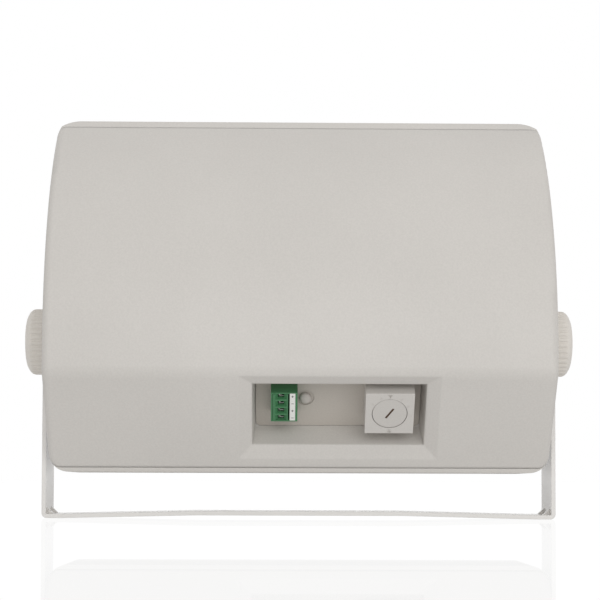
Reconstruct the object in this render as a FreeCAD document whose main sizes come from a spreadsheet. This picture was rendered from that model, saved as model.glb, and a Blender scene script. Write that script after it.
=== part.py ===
import FreeCAD, Part
import os
import math
import Sketcher

# Wall-mount 100 V line loudspeaker in a U-bracket, standing on the bracket.
# Frame: origin at the centre of the underside of the bracket bar, +Z up along the arms,
# +X along the clamping-knob axis, +Y towards the back of the cabinet (the side with the
# terminal recess), -Y towards the grille. Millimetres.

V = FreeCAD.Vector
Rot = FreeCAD.Rotation
Pl = FreeCAD.Placement
doc = FreeCAD.newDocument("wall_loudspeaker")
sheet = doc.addObject("Spreadsheet::Sheet", "Dims")

CELLS = [
    ("pivot_z", 104.0, "clamp axis above the bar's underside"),
    ("tilt", 8.7, "rest tilt of the cabinet, front down, degrees"),
    ("strap_w", 40.0, "bracket strap width"),
    ("strap_t", 2.5, "bracket strap thickness"),
    ("span", 305.0, "bracket width over the arms"),
    ("bar_set", 1.8, "drop of the bar's ends below its central land"),
    ("land_half", 62.0, "half length of the bar's flat central land"),
    ("stud_rad", 3.0, "knob stud radius"),
    ("arm_bore_rad", 3.3, "bore in the bracket arm"),
    ("screw_hole_rad", 2.75, "wall screw slot half width"),
    ("screw_pitch", 90.0, "distance between the wall screw slots"),
    ("cab_w", 296.0, "cabinet width"),
    ("cab_top", 139.0, "cabinet top above the pivot, cabinet upright"),
    ("cab_bot", 81.2, "cabinet bottom below the pivot"),
    ("front_y", 58.0, "front rim ahead of the pivot"),
    ("part_y", 12.8, "parting plane behind the pivot"),
    ("groove", 0.4, "gap of the parting groove"),
    ("back_rad", 178.9, "radius of the curved back"),
    ("back_cy", 112.9, "centre of the back curve ahead of the pivot"),
    ("back_cz", 5.0, "centre of the back curve above the pivot"),
    ("wall", 2.8, "moulded wall"),
    ("corner_top", 14.0, "corner radius at the top"),
    ("corner_bot", 11.5, "corner radius at the bottom"),
    ("draft", 8.4, "draft of the front housing, degrees"),
    ("screw_x", 128.0, "cabinet screws off the centre plane"),
    ("edge_rad", 4.0, "rounding between back and ends"),
    ("rec_x0", -73.0, "recess opening, -X side"),
    ("rec_x1", 27.8, "recess opening, +X side"),
    ("rec_low", 14.7, "recess opening, lower edge up the slope"),
    ("rec_high", 58.4, "recess opening, upper edge up the slope"),
    ("dish", 3.5, "depth of the dished surround"),
    ("dish_m", 8.0, "width of the dished surround"),
    ("floor_n", 19.8, "recess floor below the lower face"),
    ("floor_t", 2.5, "recess floor thickness"),
    ("sel_x", -52.0, "selector centre in X"),
    ("sel_up", 38.75, "selector centre up the slope"),
    ("sel_w", 28.4, "selector housing width"),
    ("sel_front", 1.5, "selector face below the lower face"),
    ("dial_rad", 10.1, "dial radius"),
    ("term_x", 9.2, "terminal centre in X"),
    ("term_up", 38.05, "terminal centre up the slope"),
    ("term_w", 15.5, "terminal width in X"),
    ("pitch", 5.08, "terminal pitch"),
    ("term_front", 8.4, "terminal face below the lower face"),
    ("seal_x", -3.3, "sealed hole in X"),
    ("seal_up", 37.0, "sealed hole up the slope"),
    ("knob_rad", 19.8, "knob radius"),
    ("knob_out", 164.2, "knob face from the centre plane"),
    ("pad_t", 2.0, "friction pad thickness"),
    ("baffle_y", 50.0, "baffle front ahead of the pivot"),
    ("baffle_t", 3.5, "baffle thickness"),
    ("woof_x", 49.0, "woofer axis in X"),
    ("woof_z", 29.0, "woofer axis above the pivot"),
    ("woof_rad", 82.5, "woofer flange radius"),
    ("tw_x", -88.0, "tweeter axis in X"),
    ("tw_z", 48.0, "tweeter axis above the pivot"),
    ("tw_rad", 33.0, "tweeter plate radius"),
    ("cone_travel", 4.0, "cone travel each way"),
]


class D(object):
    """A number that remembers the spreadsheet expression it came from."""

    def __init__(self, v, e):
        self.v = float(v)
        self.e = e

    def __add__(self, o):
        return D(self.v + val(o), "(%s + %s)" % (self.e, txt(o)))

    def __radd__(self, o):
        return D(val(o) + self.v, "(%s + %s)" % (txt(o), self.e))

    def __sub__(self, o):
        return D(self.v - val(o), "(%s - %s)" % (self.e, txt(o)))

    def __rsub__(self, o):
        return D(val(o) - self.v, "(%s - %s)" % (txt(o), self.e))

    def __mul__(self, o):
        return D(self.v * val(o), "(%s * %s)" % (self.e, txt(o)))

    def __rmul__(self, o):
        return D(self.v * val(o), "(%s * %s)" % (self.e, txt(o)))

    def __truediv__(self, o):
        return D(self.v / val(o), "(%s / %s)" % (self.e, txt(o)))

    def __neg__(self):
        return D(-self.v, "(0 - %s)" % self.e)


def val(o):
    return o.v if isinstance(o, D) else float(o)


def txt(o):
    if isinstance(o, D):
        return o.e
    return "(%.6f)" % o if o < 0 else "%.6f" % o


class Cells(object):
    pass


c = Cells()
row = 1
for alias, number, note in CELLS:
    sheet.set("A%d" % row, note)
    sheet.set("B%d" % row, "%.6g" % number)
    sheet.setAlias("B%d" % row, alias)
    setattr(c, alias, D(number, "Dims." + alias))
    row += 1
doc.recompute()

NODES = []
SCREWS = ((-c.screw_x, 112), (-38, 112), (c.screw_x, 112), (-c.screw_x, -62), (50, -62), (c.screw_x, -62))


def bind(obj, path, x):
    if isinstance(x, D):
        obj.setExpression(path, x.e)
    else:
        setattr(obj, path, x)


def place(obj, at=(0, 0, 0), rot=None):
    obj.Placement = Pl(V(val(at[0]), val(at[1]), val(at[2])), rot or Rot())
    for k, axis in enumerate("xyz"):
        if isinstance(at[k], D):
            obj.setExpression("Placement.Base." + axis, at[k].e)


TURN = {
    "z": Rot(), "-z": Rot(V(1, 0, 0), 180), "x": Rot(V(0, 1, 0), 90), "-x": Rot(V(0, 1, 0), -90),
    "y": Rot(V(1, 0, 0), -90), "-y": Rot(V(1, 0, 0), 90),
}


def box(name, lo, hi):
    o = doc.addObject("Part::Box", name)
    for prop, a, b in zip(("Length", "Width", "Height"), lo, hi):
        d = b - a
        if isinstance(d, D):
            setattr(o, prop, d.v)
            o.setExpression(prop, d.e)
        else:
            setattr(o, prop, d)
    place(o, lo)
    return o


def cyl(name, rad, length, at=(0, 0, 0), axis="z", angle=None):
    o = doc.addObject("Part::Cylinder", name)
    o.Radius = val(rad)
    o.Height = val(length)
    if isinstance(rad, D):
        o.setExpression("Radius", rad.e)
    if isinstance(length, D):
        o.setExpression("Height", length.e)
    if angle:
        o.Angle = angle
    place(o, at, TURN[axis])
    return o


def cone(name, rad_a, rad_b, length, at=(0, 0, 0), axis="z"):
    o = doc.addObject("Part::Cone", name)
    o.Radius1 = val(rad_a)
    o.Radius2 = val(rad_b)
    o.Height = val(length)
    for prop, x in (("Radius1", rad_a), ("Radius2", rad_b), ("Height", length)):
        if isinstance(x, D):
            o.setExpression(prop, x.e)
    place(o, at, TURN[axis])
    return o


def tube(name, r_out, r_in, length, at=(0, 0, 0), axis="z"):
    a = cyl(name + "_o", r_out, length, at, axis)
    b = cyl(name + "_i", r_in, length, at, axis)
    return cut(name, a, [b])


def fuse(name, shapes):
    if len(shapes) == 1:
        return shapes[0]
    o = doc.addObject("Part::MultiFuse", name)
    o.Shapes = shapes
    o.Refine = True
    return o


def cut(name, base, tools):
    o = doc.addObject("Part::Cut", name)
    o.Base = base
    o.Tool = fuse(name + "_tools", tools)
    o.Refine = True
    return o


def common(name, a, b):
    o = doc.addObject("Part::Common", name)
    o.Base = a
    o.Tool = b
    o.Refine = True
    return o


def group(name, shapes):
    o = doc.addObject("Part::Compound", name)
    o.Links = shapes
    return o


def rounded(name, src, radius, pick):
    """Part::Fillet on the edges of src that pick(edge) accepts."""
    doc.recompute()
    o = doc.addObject("Part::Fillet", name)
    o.Base = src
    r = val(radius)
    o.Edges = [(i + 1, r, r) for i, e in enumerate(src.Shape.Edges) if pick(e)]
    doc.recompute()
    return o


def mid(e):
    p = e.valueAt((e.FirstParameter + e.LastParameter) / 2.0)
    return p


def new_body(name):
    return doc.addObject("PartDesign::Body", name)


def sketch(body, name, plane, offset=0.0):
    sk = body.newObject("Sketcher::SketchObject", name)
    sup = [o for o in body.Origin.OriginFeatures if getattr(o, "Role", "") == plane][0]
    sk.AttachmentSupport = [(sup, "")]
    sk.MapMode = "FlatFace"
    sk.AttachmentOffset = Pl(V(0, 0, val(offset)), Rot())
    if isinstance(offset, D):
        sk.setExpression("AttachmentOffset.Base.z", offset.e)
    return sk


def fix_point(sk, geo, pos, x, y):
    """Pin one point of the sketch to the origin by two dimensions, bound where they come from the sheet."""
    for k, (v, kind, axis) in enumerate(((x, "DistanceX", -2), (y, "DistanceY", -1))):
        if not isinstance(v, D) and abs(v) < 1e-9:
            sk.addConstraint(Sketcher.Constraint("PointOnObject", geo, pos, axis))
        else:
            n = sk.addConstraint(Sketcher.Constraint(kind, -1, 1, geo, pos, val(v)))
            if isinstance(v, D):
                sk.setExpression("Constraints[%d]" % n, v.e)


def outline(sk, pts, arcs=None):
    """Closed outline through pts. arcs: {i: (mx, my, radius)} makes the side i -> i+1 an arc through a middle point."""
    arcs = arcs or {}
    n = len(pts)
    first = sk.GeometryCount
    ends = []
    for i in range(n):
        a = V(val(pts[i][0]), val(pts[i][1]), 0)
        b = V(val(pts[(i + 1) % n][0]), val(pts[(i + 1) % n][1]), 0)
        if i in arcs:
            m = arcs[i]
            arc = Part.Arc(a, V(m[0], m[1], 0), b)
            g = sk.addGeometry(arc, False)
            s = sk.getPoint(g, 1)
            ends.append((1, 2) if (s - a).Length < 1e-6 else (2, 1))
        else:
            sk.addGeometry(Part.LineSegment(a, b), False)
            ends.append((1, 2))
    for i in range(n):
        j = (i + 1) % n
        sk.addConstraint(Sketcher.Constraint("Coincident", first + i, ends[i][1], first + j, ends[j][0]))
    for i in range(n):
        fix_point(sk, first + i, ends[i][0], pts[i][0], pts[i][1])
    for i, m in arcs.items():
        a, b = pts[i], pts[(i + 1) % n]
        chord = math.hypot(val(a[0]) - val(b[0]), val(a[1]) - val(b[1]))
        if abs(chord - 2 * val(m[2])) < 1e-6:
            # a half circle: its centre is pinned on the chord instead of the radius
            if abs(val(a[1]) - val(b[1])) < 1e-6:
                kind, x = "DistanceY", a[1]
            else:
                kind, x = "DistanceX", a[0]
        else:
            kind, x = "Radius", m[2]
        if kind == "Radius":
            k = sk.addConstraint(Sketcher.Constraint(kind, first + i, val(x)))
        else:
            k = sk.addConstraint(Sketcher.Constraint(kind, -1, 1, first + i, 3, val(x)))
        if isinstance(x, D):
            sk.setExpression("Constraints[%d]" % k, x.e)
    return sk


def circle(sk, x, y, r):
    g = sk.addGeometry(Part.Circle(V(val(x), val(y), 0), V(0, 0, 1), val(r)), False)
    fix_point(sk, g, 3, x, y)
    k = sk.addConstraint(Sketcher.Constraint("Radius", g, val(r)))
    if isinstance(r, D):
        sk.setExpression("Constraints[%d]" % k, r.e)
    return g


def rect(sk, x0, y0, x1, y1):
    outline(sk, [(x0, y0), (x1, y0), (x1, y1), (x0, y1)])


def pad(body, sk, length, symmetric=False, reverse=False, taper=0.0, name="Pad"):
    p = body.newObject("PartDesign::Pad", name)
    p.Profile = (sk, [""])
    p.Length = val(length)
    if isinstance(length, D):
        p.setExpression("Length", length.e)
    if symmetric:
        p.SideType = "Symmetric"
    p.Reversed = reverse
    if taper:
        p.TaperAngle = taper
    return p


def pocket(body, sk, length, symmetric=False, reverse=False, name="Pocket"):
    doc.recompute()
    before = body.Shape.Volume
    p = body.newObject("PartDesign::Pocket", name)
    p.Profile = (sk, [""])
    p.Length = val(length)
    if isinstance(length, D):
        p.setExpression("Length", length.e)
    if symmetric:
        p.SideType = "Symmetric"
    p.Reversed = reverse
    doc.recompute()
    if not body.Shape.Volume < before - 1e-3:
        raise RuntimeError("%s in %s cut nothing" % (name, body.Name))
    return p


def turned(name, pts, arcs=None):
    """A PartDesign body turned about Z from a half profile given as (radius, z)."""
    b = new_body(name)
    sk = sketch(b, name + "_sk", "XZ_Plane")
    outline(sk, pts, arcs)
    r = b.newObject("PartDesign::Revolution", name + "_rev")
    r.Profile = (sk, [""])
    r.ReferenceAxis = (sk, ["V_Axis"])
    r.Angle = 360.0
    return b


def node(obj, label, base=None):
    """Register a finished sub-part; base is the placement of the assembly it belongs to."""
    if any(path.startswith(".Placement") or path.startswith("Placement") for path, e in obj.ExpressionEngine):
        obj = group(obj.Name + "_set", [obj])
    obj.Label = label
    if base is not None:
        obj.Placement = base.multiply(obj.Placement)
    NODES.append(obj)
    return obj


# Cabinet placement: turned about the clamp axis. Lower-face placement: +X as the frame's,
# +Y down the slope, +Z out of the sloping lower face, origin on its lower edge.
SLOPE = 46.7
SS, CS = math.sin(math.radians(SLOPE)), math.cos(math.radians(SLOPE))
CAB = Pl(V(0, 0, c.pivot_z.v), Rot(V(1, 0, 0), c.tilt.v))
LOW_Z = c.cab_bot - 2.6            # lower edge of the rear shell below the pivot
FACE_L = Pl(V(0, c.part_y.v, -LOW_Z.v), Rot(V(1, 0, 0), 270.0 - SLOPE))
FACE = CAB.multiply(FACE_L)

# ---------------------------------------------------------------- bracket
bk = new_body("Bracket")
sk = sketch(bk, "Bracket_profile", "XZ_Plane")
hw = c.span / 2
ro = 3.0
t = c.strap_t
zt = c.pivot_z + c.strap_w / 2
s = c.bar_set
pts = [
    (-hw, zt), (-hw, -s + ro), (-(hw - ro), -s), (-(hw - 12), -s), (-c.land_half, 0.0), (c.land_half, 0.0),
    (hw - 12, -s), (hw - ro, -s), (hw, -s + ro), (hw, zt),
    (hw - t, zt), (hw - t, -s + ro), (hw - ro, -s + t), (hw - 12, -s + t), (c.land_half, t),
    (-c.land_half, t), (-(hw - 12), -s + t), (-(hw - ro), -s + t), (-(hw - t), -s + ro), (-(hw - t), zt),
]
HW, S0 = hw.v, s.v
q = ro * (1 - math.sqrt(0.5))
qi = (ro - t.v)
arcs = {
    1: (-HW + q, -S0 + q, ro),
    7: (HW - q, -S0 + q, ro),
    11: (HW - t.v - qi * (1 - math.sqrt(0.5)), -S0 + t.v + qi * (1 - math.sqrt(0.5)), qi),
    17: (-HW + t.v + qi * (1 - math.sqrt(0.5)), -S0 + t.v + qi * (1 - math.sqrt(0.5)), qi),
}
outline(sk, pts, arcs)
pad(bk, sk, c.strap_w, symmetric=True, name="Strap")
sk = sketch(bk, "Arm_ends", "YZ_Plane")
hs = c.strap_w / 2
outline(sk, [(-hs, c.pivot_z), (-hs, zt + 5), (hs, zt + 5), (hs, c.pivot_z)],
        {3: (0, zt.v, hs)})
pocket(bk, sk, c.span + 10, symmetric=True, name="Round_ends")
sk = sketch(bk, "Arm_bores", "YZ_Plane")
circle(sk, 0.0, c.pivot_z, c.arm_bore_rad)
pocket(bk, sk, c.span + 10, symmetric=True, name="Bores")
sk = sketch(bk, "Bar_slots", "XY_Plane")
for sgn in (-1, 1):
    x0 = c.screw_pitch / 2 * sgn
    a = c.screw_hole_rad
    r5 = 4.0
    outline(sk, [(x0 - r5, -a), (x0 + r5, -a), (x0 + r5, a), (x0 - r5, a)],
            {1: (x0.v + r5 + a.v, 0, a), 3: (x0.v - r5 - a.v, 0, a)})
circle(sk, 0.0, 0.0, 4.0)
pocket(bk, sk, 20.0, symmetric=True, name="Slots")
# pressed corner gussets, two at each bend
for k, yo in enumerate((-11.0, 11.0)):
    for sgn in (-1, 1):
        sk = sketch(bk, "Gusset_%d_%s" % (k, "l" if sgn < 0 else "r"), "XZ_Plane", -yo)
        xa = (hw - t + 0.6) * sgn
        za = -s + t - 0.6
        outline(sk, [(xa, za), (xa - 5.0 * sgn, za), (xa, za + 5.0)])
        pad(bk, sk, 4.0, symmetric=True, name="Gusset_pad")
doc.recompute()
node(bk, "bracket")

# ---------------------------------------------------------------- cabinet envelope
def back_point(z, inset=0.0):
    r = c.back_rad.v - inset
    return -c.back_cy.v + math.sqrt(r * r - (z - c.back_cz.v) ** 2)


def back_profile(name, inset, y_min, width):
    """Side profile of the cabinet, inset all round, extruded along X."""
    b = new_body(name)
    sk = sketch(b, name + "_sk", "YZ_Plane")
    # lower face line: direction (SS, CS), moved inwards by inset
    by = c.part_y.v - inset * CS
    bz = -LOW_Z.v + inset * SS
    R = c.back_rad.v - inset
    cy, cz = -c.back_cy.v, c.back_cz.v
    # ridge: fillet circle tangent to the line and inside the back circle
    rr = max(12.0 - inset, 1.0)
    # centre lies on the line moved in by rr and on the circle of radius R - rr
    ly, lz = by - rr * CS, bz + rr * SS
    dy, dz = ly - cy, lz - cz
    B = dy * SS + dz * CS
    C = dy * dy + dz * dz - (R - rr) ** 2
    tt = -B + math.sqrt(B * B - C)
    fy, fz = ly + tt * SS, lz + tt * CS
    t1 = (fy + rr * CS, fz - rr * SS)                       # tangent point on the line
    k = math.hypot(fy - cy, fz - cz)
    t2 = (cy + (fy - cy) / k * R, cz + (fz - cz) / k * R)   # tangent point on the back
    a1 = math.atan2(-SS, CS)
    a2 = math.atan2(fz - cz, fy - cy)
    am = (a1 + a2) / 2
    m1 = (fy + rr * math.cos(am), fz + rr * math.sin(am))
    zt_ = c.cab_top.v + 6.0
    top = (back_point(zt_, inset), zt_)
    a3 = math.atan2(top[1] - cz, top[0] - cy)
    am2 = (a2 + a3) / 2
    m2 = (cy + R * math.cos(am2), cz + R * math.sin(am2))
    # start of the lower line, carried on below the cabinet
    d = 12.0
    st = (by - d * SS, bz - d * CS)
    outline(sk, [(y_min, st[1]), st, t1, t2, top, (y_min, zt_)],
            {2: (m1[0], m1[1], rr), 3: (m2[0], m2[1], c.back_rad - inset)})
    pad(b, sk, width, symmetric=True, name=name + "_pad")
    return b


def ring_profile(name, plane_y, inset, length, taper, reverse, rad=None):
    """Rounded front outline, extruded along Y from plane_y."""
    b = new_body(name)
    sk = sketch(b, name + "_sk", "XZ_Plane", -plane_y)
    hx = c.cab_w / 2 - inset
    z1 = c.cab_top - inset
    z0 = -(c.cab_bot - inset)
    rt = rad if rad is not None else c.corner_top - inset
    rb = rad if rad is not None else c.corner_bot - inset
    m = math.sqrt(0.5)
    hxv, z1v, z0v, rtv, rbv = hx.v, z1.v, z0.v, val(rt), val(rb)
    outline(sk, [
        (-(hx - rb), z0), (hx - rb, z0), (hx, z0 + rb), (hx, z1 - rt),
        (hx - rt, z1), (-(hx - rt), z1), (-hx, z1 - rt), (-hx, z0 + rb)],
        {1: (hxv - rbv + rbv * m, z0v + rbv - rbv * m, rb),
         3: (hxv - rtv + rtv * m, z1v - rtv + rtv * m, rt),
         5: (-(hxv - rtv + rtv * m), z1v - rtv + rtv * m, rt),
         7: (-(hxv - rbv + rbv * m), z0v + rbv - rbv * m, rb)})
    pad(b, sk, length, reverse=reverse, taper=taper, name=name + "_pad")
    return b


def spine_edges(shape):
    """Edges where the curved back meets the ends and corners."""
    hx = c.cab_w.v / 2
    out = []
    for i, e in enumerate(shape.Edges):
        p = mid(e)
        if p.y < c.part_y.v + 0.6:
            continue
        if abs(p.x) > hx - c.corner_top.v - 0.5 and e.Length > 0.3:
            a, b = e.Vertexes[0].Point, e.Vertexes[-1].Point
            if abs(a.x - b.x) > 1e-3 and abs(a.z - b.z) < 1e-4 and abs(a.y - b.y) < 1e-4:
                continue
            # seams along Y between the flat end and the corner cylinders
            if abs(a.x - b.x) < 1e-3 and abs(a.z - b.z) < 1e-3 and abs(a.y - b.y) > 1e-3:
                continue
            out.append(i + 1)
    return out


# ---------------------------------------------------------------- rear shell
prof_o = back_profile("Shell_profile", 0.0, c.part_y.v, c.cab_w)
ring_o = ring_profile("Shell_ring", c.part_y, 0.0, 60.0, 0.0, True)
env = common("Shell_env", prof_o, ring_o)
doc.recompute()
fil = doc.addObject("Part::Fillet", "Shell_round")
fil.Base = env
fil.Edges = [(i, c.edge_rad.v, c.edge_rad.v) for i in spine_edges(env.Shape)]
doc.recompute()
if fil.Shape.isNull() or not fil.Shape.isValid():
    raise RuntimeError("shell rounding failed")

prof_i = back_profile("Void_profile", c.wall.v, c.part_y.v - 1.0, c.cab_w - 2 * c.wall)
ring_i = ring_profile("Void_ring", c.part_y - 1, c.wall, 60.0, 0.0, True)
void = common("Shell_void", prof_i, ring_i)

LZ = -c.cab_top.v


def face_box(name, x0, x1, up0, up1, n0, n1):
    """Box given in the lower face's own directions: X, up the slope, out of the face."""
    o = doc.addObject("Part::Box", name)
    for prop, a, b in (("Length", x0, x1), ("Width", up0, up1), ("Height", n0, n1)):
        d = b - a
        setattr(o, prop, val(d))
        if isinstance(d, D):
            o.setExpression(prop, d.e)
    o.Placement = FACE_L.multiply(Pl(V(val(x0), -val(up1), val(n0)), Rot()))
    return o


def face_cyl(name, rad, n0, n1, x, up):
    o = doc.addObject("Part::Cylinder", name)
    o.Radius = val(rad)
    if isinstance(rad, D):
        o.setExpression("Radius", rad.e)
    o.Height = val(n1) - val(n0)
    o.Placement = FACE_L.multiply(Pl(V(val(x), -val(up), val(n0)), Rot()))
    return o


w = c.wall
bucket = common("Bucket_in", face_box("Bucket", c.rec_x0 - w, c.rec_x1 + w, c.rec_low - w, c.rec_high + w,
                                       -c.floor_n - c.floor_t, 8.0),
                fuse("Bucket_env", [fil, box("Bucket_fwd", (-130.0, -6.0, -68.0), (130.0, c.part_y + 0.5, 60.0))]))
# dish: thicken behind the dished surround so that the wall stays whole
dishback = common("Dish_in", face_box("Dish_back", c.rec_x0 - 11.0, c.rec_x1 + 11.0, c.rec_low - 11.0, c.rec_high + 9.5,
                                      -c.dish - w, 3.0), fil)
bosses = []
for i, (bx, bz) in enumerate(SCREWS):
    bosses.append(cyl("Boss_%d" % i, 5.0, 60.0, (bx, c.part_y, bz), "y"))
for i, (bx, bz) in enumerate(((-112, 34), (-78, 34), (-112, -14), (-78, -14))):
    bosses.append(cyl("Tboss_%d" % i, 4.0, 40.0, (bx, 52.0, bz), "y"))
for i, (bx, bz) in enumerate(((84, 40), (126, 40), (84, -2), (126, -2))):
    bosses.append(cyl("Cboss_%d" % i, 4.0, 40.0, (bx, 50.0, bz), "y"))
pboss = []
for i, (bx, up) in enumerate(((-80.5, 22), (-80.5, 50), (35.3, 22), (35.3, 50))):
    pboss.append(face_cyl("Pboss_%d" % i, 3.6, -22.3, 5.0, bx, up))
boss_in = common("Boss_in", fuse("Boss_all", bosses + pboss), fil)
hollow = cut("Shell_hollow", fil, [void])
solid = fuse("Shell_solid", [hollow, bucket, dishback, boss_in])

# recess: drafted walls, dished surround, stepped hole for the panel


def frustum(name, x0, x1, u0, u1, n0, m, depth, over):
    """Tapered tool that opens outwards by m over depth and runs on past the face."""
    k = (depth + over) / depth
    a = [V(x0, -u1, n0), V(x1, -u1, n0), V(x1, -u0, n0), V(x0, -u0, n0)]
    g = m * k
    n1 = n0 + depth + over
    b = [V(x0 - g, -u1 - g, n1), V(x1 + g, -u1 - g, n1), V(x1 + g, -u0 + g, n1), V(x0 - g, -u0 + g, n1)]
    wa = Part.makePolygon(a + [a[0]])
    wb = Part.makePolygon(b + [b[0]])
    f = doc.addObject("Part::Feature", name)
    f.Shape = Part.makeLoft([wa, wb], True, True)
    f.Placement = FACE_L
    return f


rec = frustum("Recess", c.rec_x0.v + 1.6, c.rec_x1.v - 1.6, c.rec_low.v + 1.6, c.rec_high.v - 1.6, -c.floor_n.v, 1.6, 16.3, 0.3)
dish = frustum("Dish", c.rec_x0.v, c.rec_x1.v, c.rec_low.v, c.rec_high.v, -c.dish.v, c.dish_m.v, c.dish.v, 4.0)
rec_soft = fuse("Recess_tool", [rec, dish])
pf = Part.makeBox(1, 1, 1)
hole = doc.addObject("Part::Box", "Panel_hole_box")
hole.Length = c.rec_x1.v - c.rec_x0.v - 3.6
hole.setExpression("Length", (c.rec_x1 - c.rec_x0 - 3.6).e)
hole.Width = c.rec_high.v - c.rec_low.v - 3.65
hole.setExpression("Width", (c.rec_high - c.rec_low - 3.65).e)
hole.Height = 8.0
hole.Placement = Pl(V(c.rec_x0.v + 1.8, -c.rec_high.v + 1.8, -c.floor_n.v - 5.0), Rot())
doc.recompute()
hole_r = rounded("Panel_hole_r", hole, 3.0, lambda e: abs(e.Vertexes[0].Point.z - e.Vertexes[-1].Point.z) > 1)
hole_r.Placement = FACE_L
cabinet_holes = []
for i, (bx, bz) in enumerate(SCREWS):
    cabinet_holes.append(cyl("Boss_hole_%d" % i, 1.7, 11.5, (bx, c.part_y - 0.5, bz), "y"))
for i, (bx, bz) in enumerate(((-112, 34), (-78, 34), (-112, -14), (-78, -14))):
    cabinet_holes.append(cyl("Tboss_hole_%d" % i, 1.2, 6.5, (bx, 51.5, bz), "y"))
for i, (bx, bz) in enumerate(((84, 40), (126, 40), (84, -2), (126, -2))):
    cabinet_holes.append(cyl("Cboss_hole_%d" % i, 1.2, 6.5, (bx, 49.5, bz), "y"))
for i, (bx, up) in enumerate(((-80.5, 22), (-80.5, 50), (35.3, 22), (35.3, 50))):
    cabinet_holes.append(face_cyl("Pboss_hole_%d" % i, 1.1, -22.6, -15.0, bx, up))
shell = cut("Rear_shell", solid, [rec_soft, hole_r] + cabinet_holes)
doc.recompute()


node(shell, "rear_shell", CAB)

# ---------------------------------------------------------------- front housing
ty = c.part_y - c.groove
prof_f = back_profile("Front_profile", 0.0, -70.0, c.cab_w + 10)
ring_f = ring_profile("Front_ring", ty, 0.0, c.front_y + ty, -c.draft.v, False)
env_f = common("Front_env", prof_f, ring_f)
doc.recompute()


def front_rim(e):
    p = mid(e)
    return abs(p.y + c.front_y.v) < 0.01 and abs(e.Vertexes[0].Point.y + c.front_y.v) < 0.01


env_fr = rounded("Front_round", env_f, 5.0, front_rim)
inner_r = common("Front_void",
                 ring_profile("Front_void_ring", ty + 1, c.wall, c.baffle_y - c.baffle_t + ty + 1, -c.draft.v, False),
                 back_profile("Front_void_profile", c.wall.v, -70.0, c.cab_w + 10))
recess_r = ring_profile("Grille_recess_ring", -c.baffle_y, 13.5, 20.0, 0.0, False, 6.0)
woof_hole = cyl("Woofer_hole", 73.5, 30.0, (c.woof_x, -c.baffle_y - 10, c.woof_z), "y")
tw_hole = cyl("Tweeter_hole", 22.5, 30.0, (c.tw_x, -c.baffle_y - 10, c.tw_z), "y")
wells, well_cuts = [], []
for i, (bx, bz) in enumerate(SCREWS):
    wells.append(cyl("Well_%d" % i, 6.0, c.baffle_y + ty - 1, (bx, -c.baffle_y + 1, bz), "y"))
    well_cuts.append(cyl("Well_bore_%d" % i, 4.4, 42.0, (bx, -c.baffle_y, bz), "y"))
    well_cuts.append(cyl("Well_hole_%d" % i, 2.1, 80.0, (bx, -c.baffle_y, bz), "y"))
ins_boss = [cyl("Insert_boss_r", 10.0, 16.0, (c.cab_w / 2 - 16.8, 0, 0), "x"),
            cyl("Insert_boss_l", 10.0, 16.0, (-(c.cab_w / 2 - 16.8), 0, 0), "-x")]
ins_cut = [cyl("Insert_cut_r", 6.0, 20.0, (c.cab_w / 2 - 17.3, 0, 0), "x"),
           cyl("Insert_cut_l", 6.0, 20.0, (-(c.cab_w / 2 - 17.3), 0, 0), "-x")]
wood = []
for i in range(4):
    a = math.radians(45 + 90 * i)
    wood.append(cyl("Woof_pilot_%d" % i, 1.5, 3.4, (c.woof_x + 77.8 * math.cos(a), -c.baffle_y - 0.1, c.woof_z + 77.8 * math.sin(a)), "y"))
    wood.append(cyl("Tw_pilot_%d" % i, 1.1, 3.4, (c.tw_x + 28.5 * math.cos(a), -c.baffle_y - 0.1, c.tw_z + 28.5 * math.sin(a)), "y"))
body_f = cut("Front_hollow", env_fr, [inner_r, recess_r])
body_f2 = fuse("Front_solid", [body_f, common("Wells_in", fuse("Wells", wells), env_fr)] + ins_boss)
# side rounds: land pads that carry the friction pads, flush with the ends
land = [cyl("Land_r", 20.0, 8.6, (c.cab_w / 2 - 8.6, 0, 0), "x"), cyl("Land_l", 20.0, 8.6, (-(c.cab_w / 2 - 8.6), 0, 0), "-x")]
land_in = common("Land_in", fuse("Lands", land), box("Land_lim", (-160.0, -19.9, -25.0), (160.0, c.part_y - c.groove, 25.0)))
# tongue that locates the rear shell, and its root along the inside of the front wall
t_in = common("Tongue_in", ring_profile("Tongue_in_ring", c.part_y + 3.5, c.wall + 1.9, 14.0, 0.0, False),
              back_profile("Tongue_in_profile", c.wall.v + 1.9, -20.0, c.cab_w))
t_out = common("Tongue_out", ring_profile("Tongue_out_ring", c.part_y + 3.0, c.wall + 0.3, 10.0, 0.0, False),
               back_profile("Tongue_out_profile", c.wall.v + 0.3, -20.0, c.cab_w))
r_out = common("Root_out", ring_profile("Root_out_ring", ty, 1.5, 7.0, 0.0, False),
               back_profile("Root_out_profile", 1.5, -20.0, c.cab_w))
tongue = cut("Tongue", fuse("Tongue_all", [t_out, r_out]),
             [t_in, face_box("Dish_clear", c.rec_x0 - 11.6, c.rec_x1 + 11.6, c.rec_low - 11.6, c.rec_high + 10.1, -c.dish - w - 0.6, 20.0)]
             + [cyl("Boss_clear_%d" % i, 5.6, 6.0, (bx, ty, bz), "y") for i, (bx, bz) in enumerate(SCREWS)])
front = cut("Front_housing", fuse("Front_more", [body_f2, land_in, tongue]),
            [woof_hole, tw_hole] + well_cuts + ins_cut + wood
            + [face_box("Bucket_clear", c.rec_x0 - w - 0.6, c.rec_x1 + w + 0.6, c.rec_low - w - 0.6, c.rec_high + w + 0.6, -c.floor_n - 8, 20.0),
               face_box("Ear_clear", -86.0, 41.0, 12.0, 61.0, -30.0, 2.0)])
node(front, "front_housing", CAB)

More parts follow.
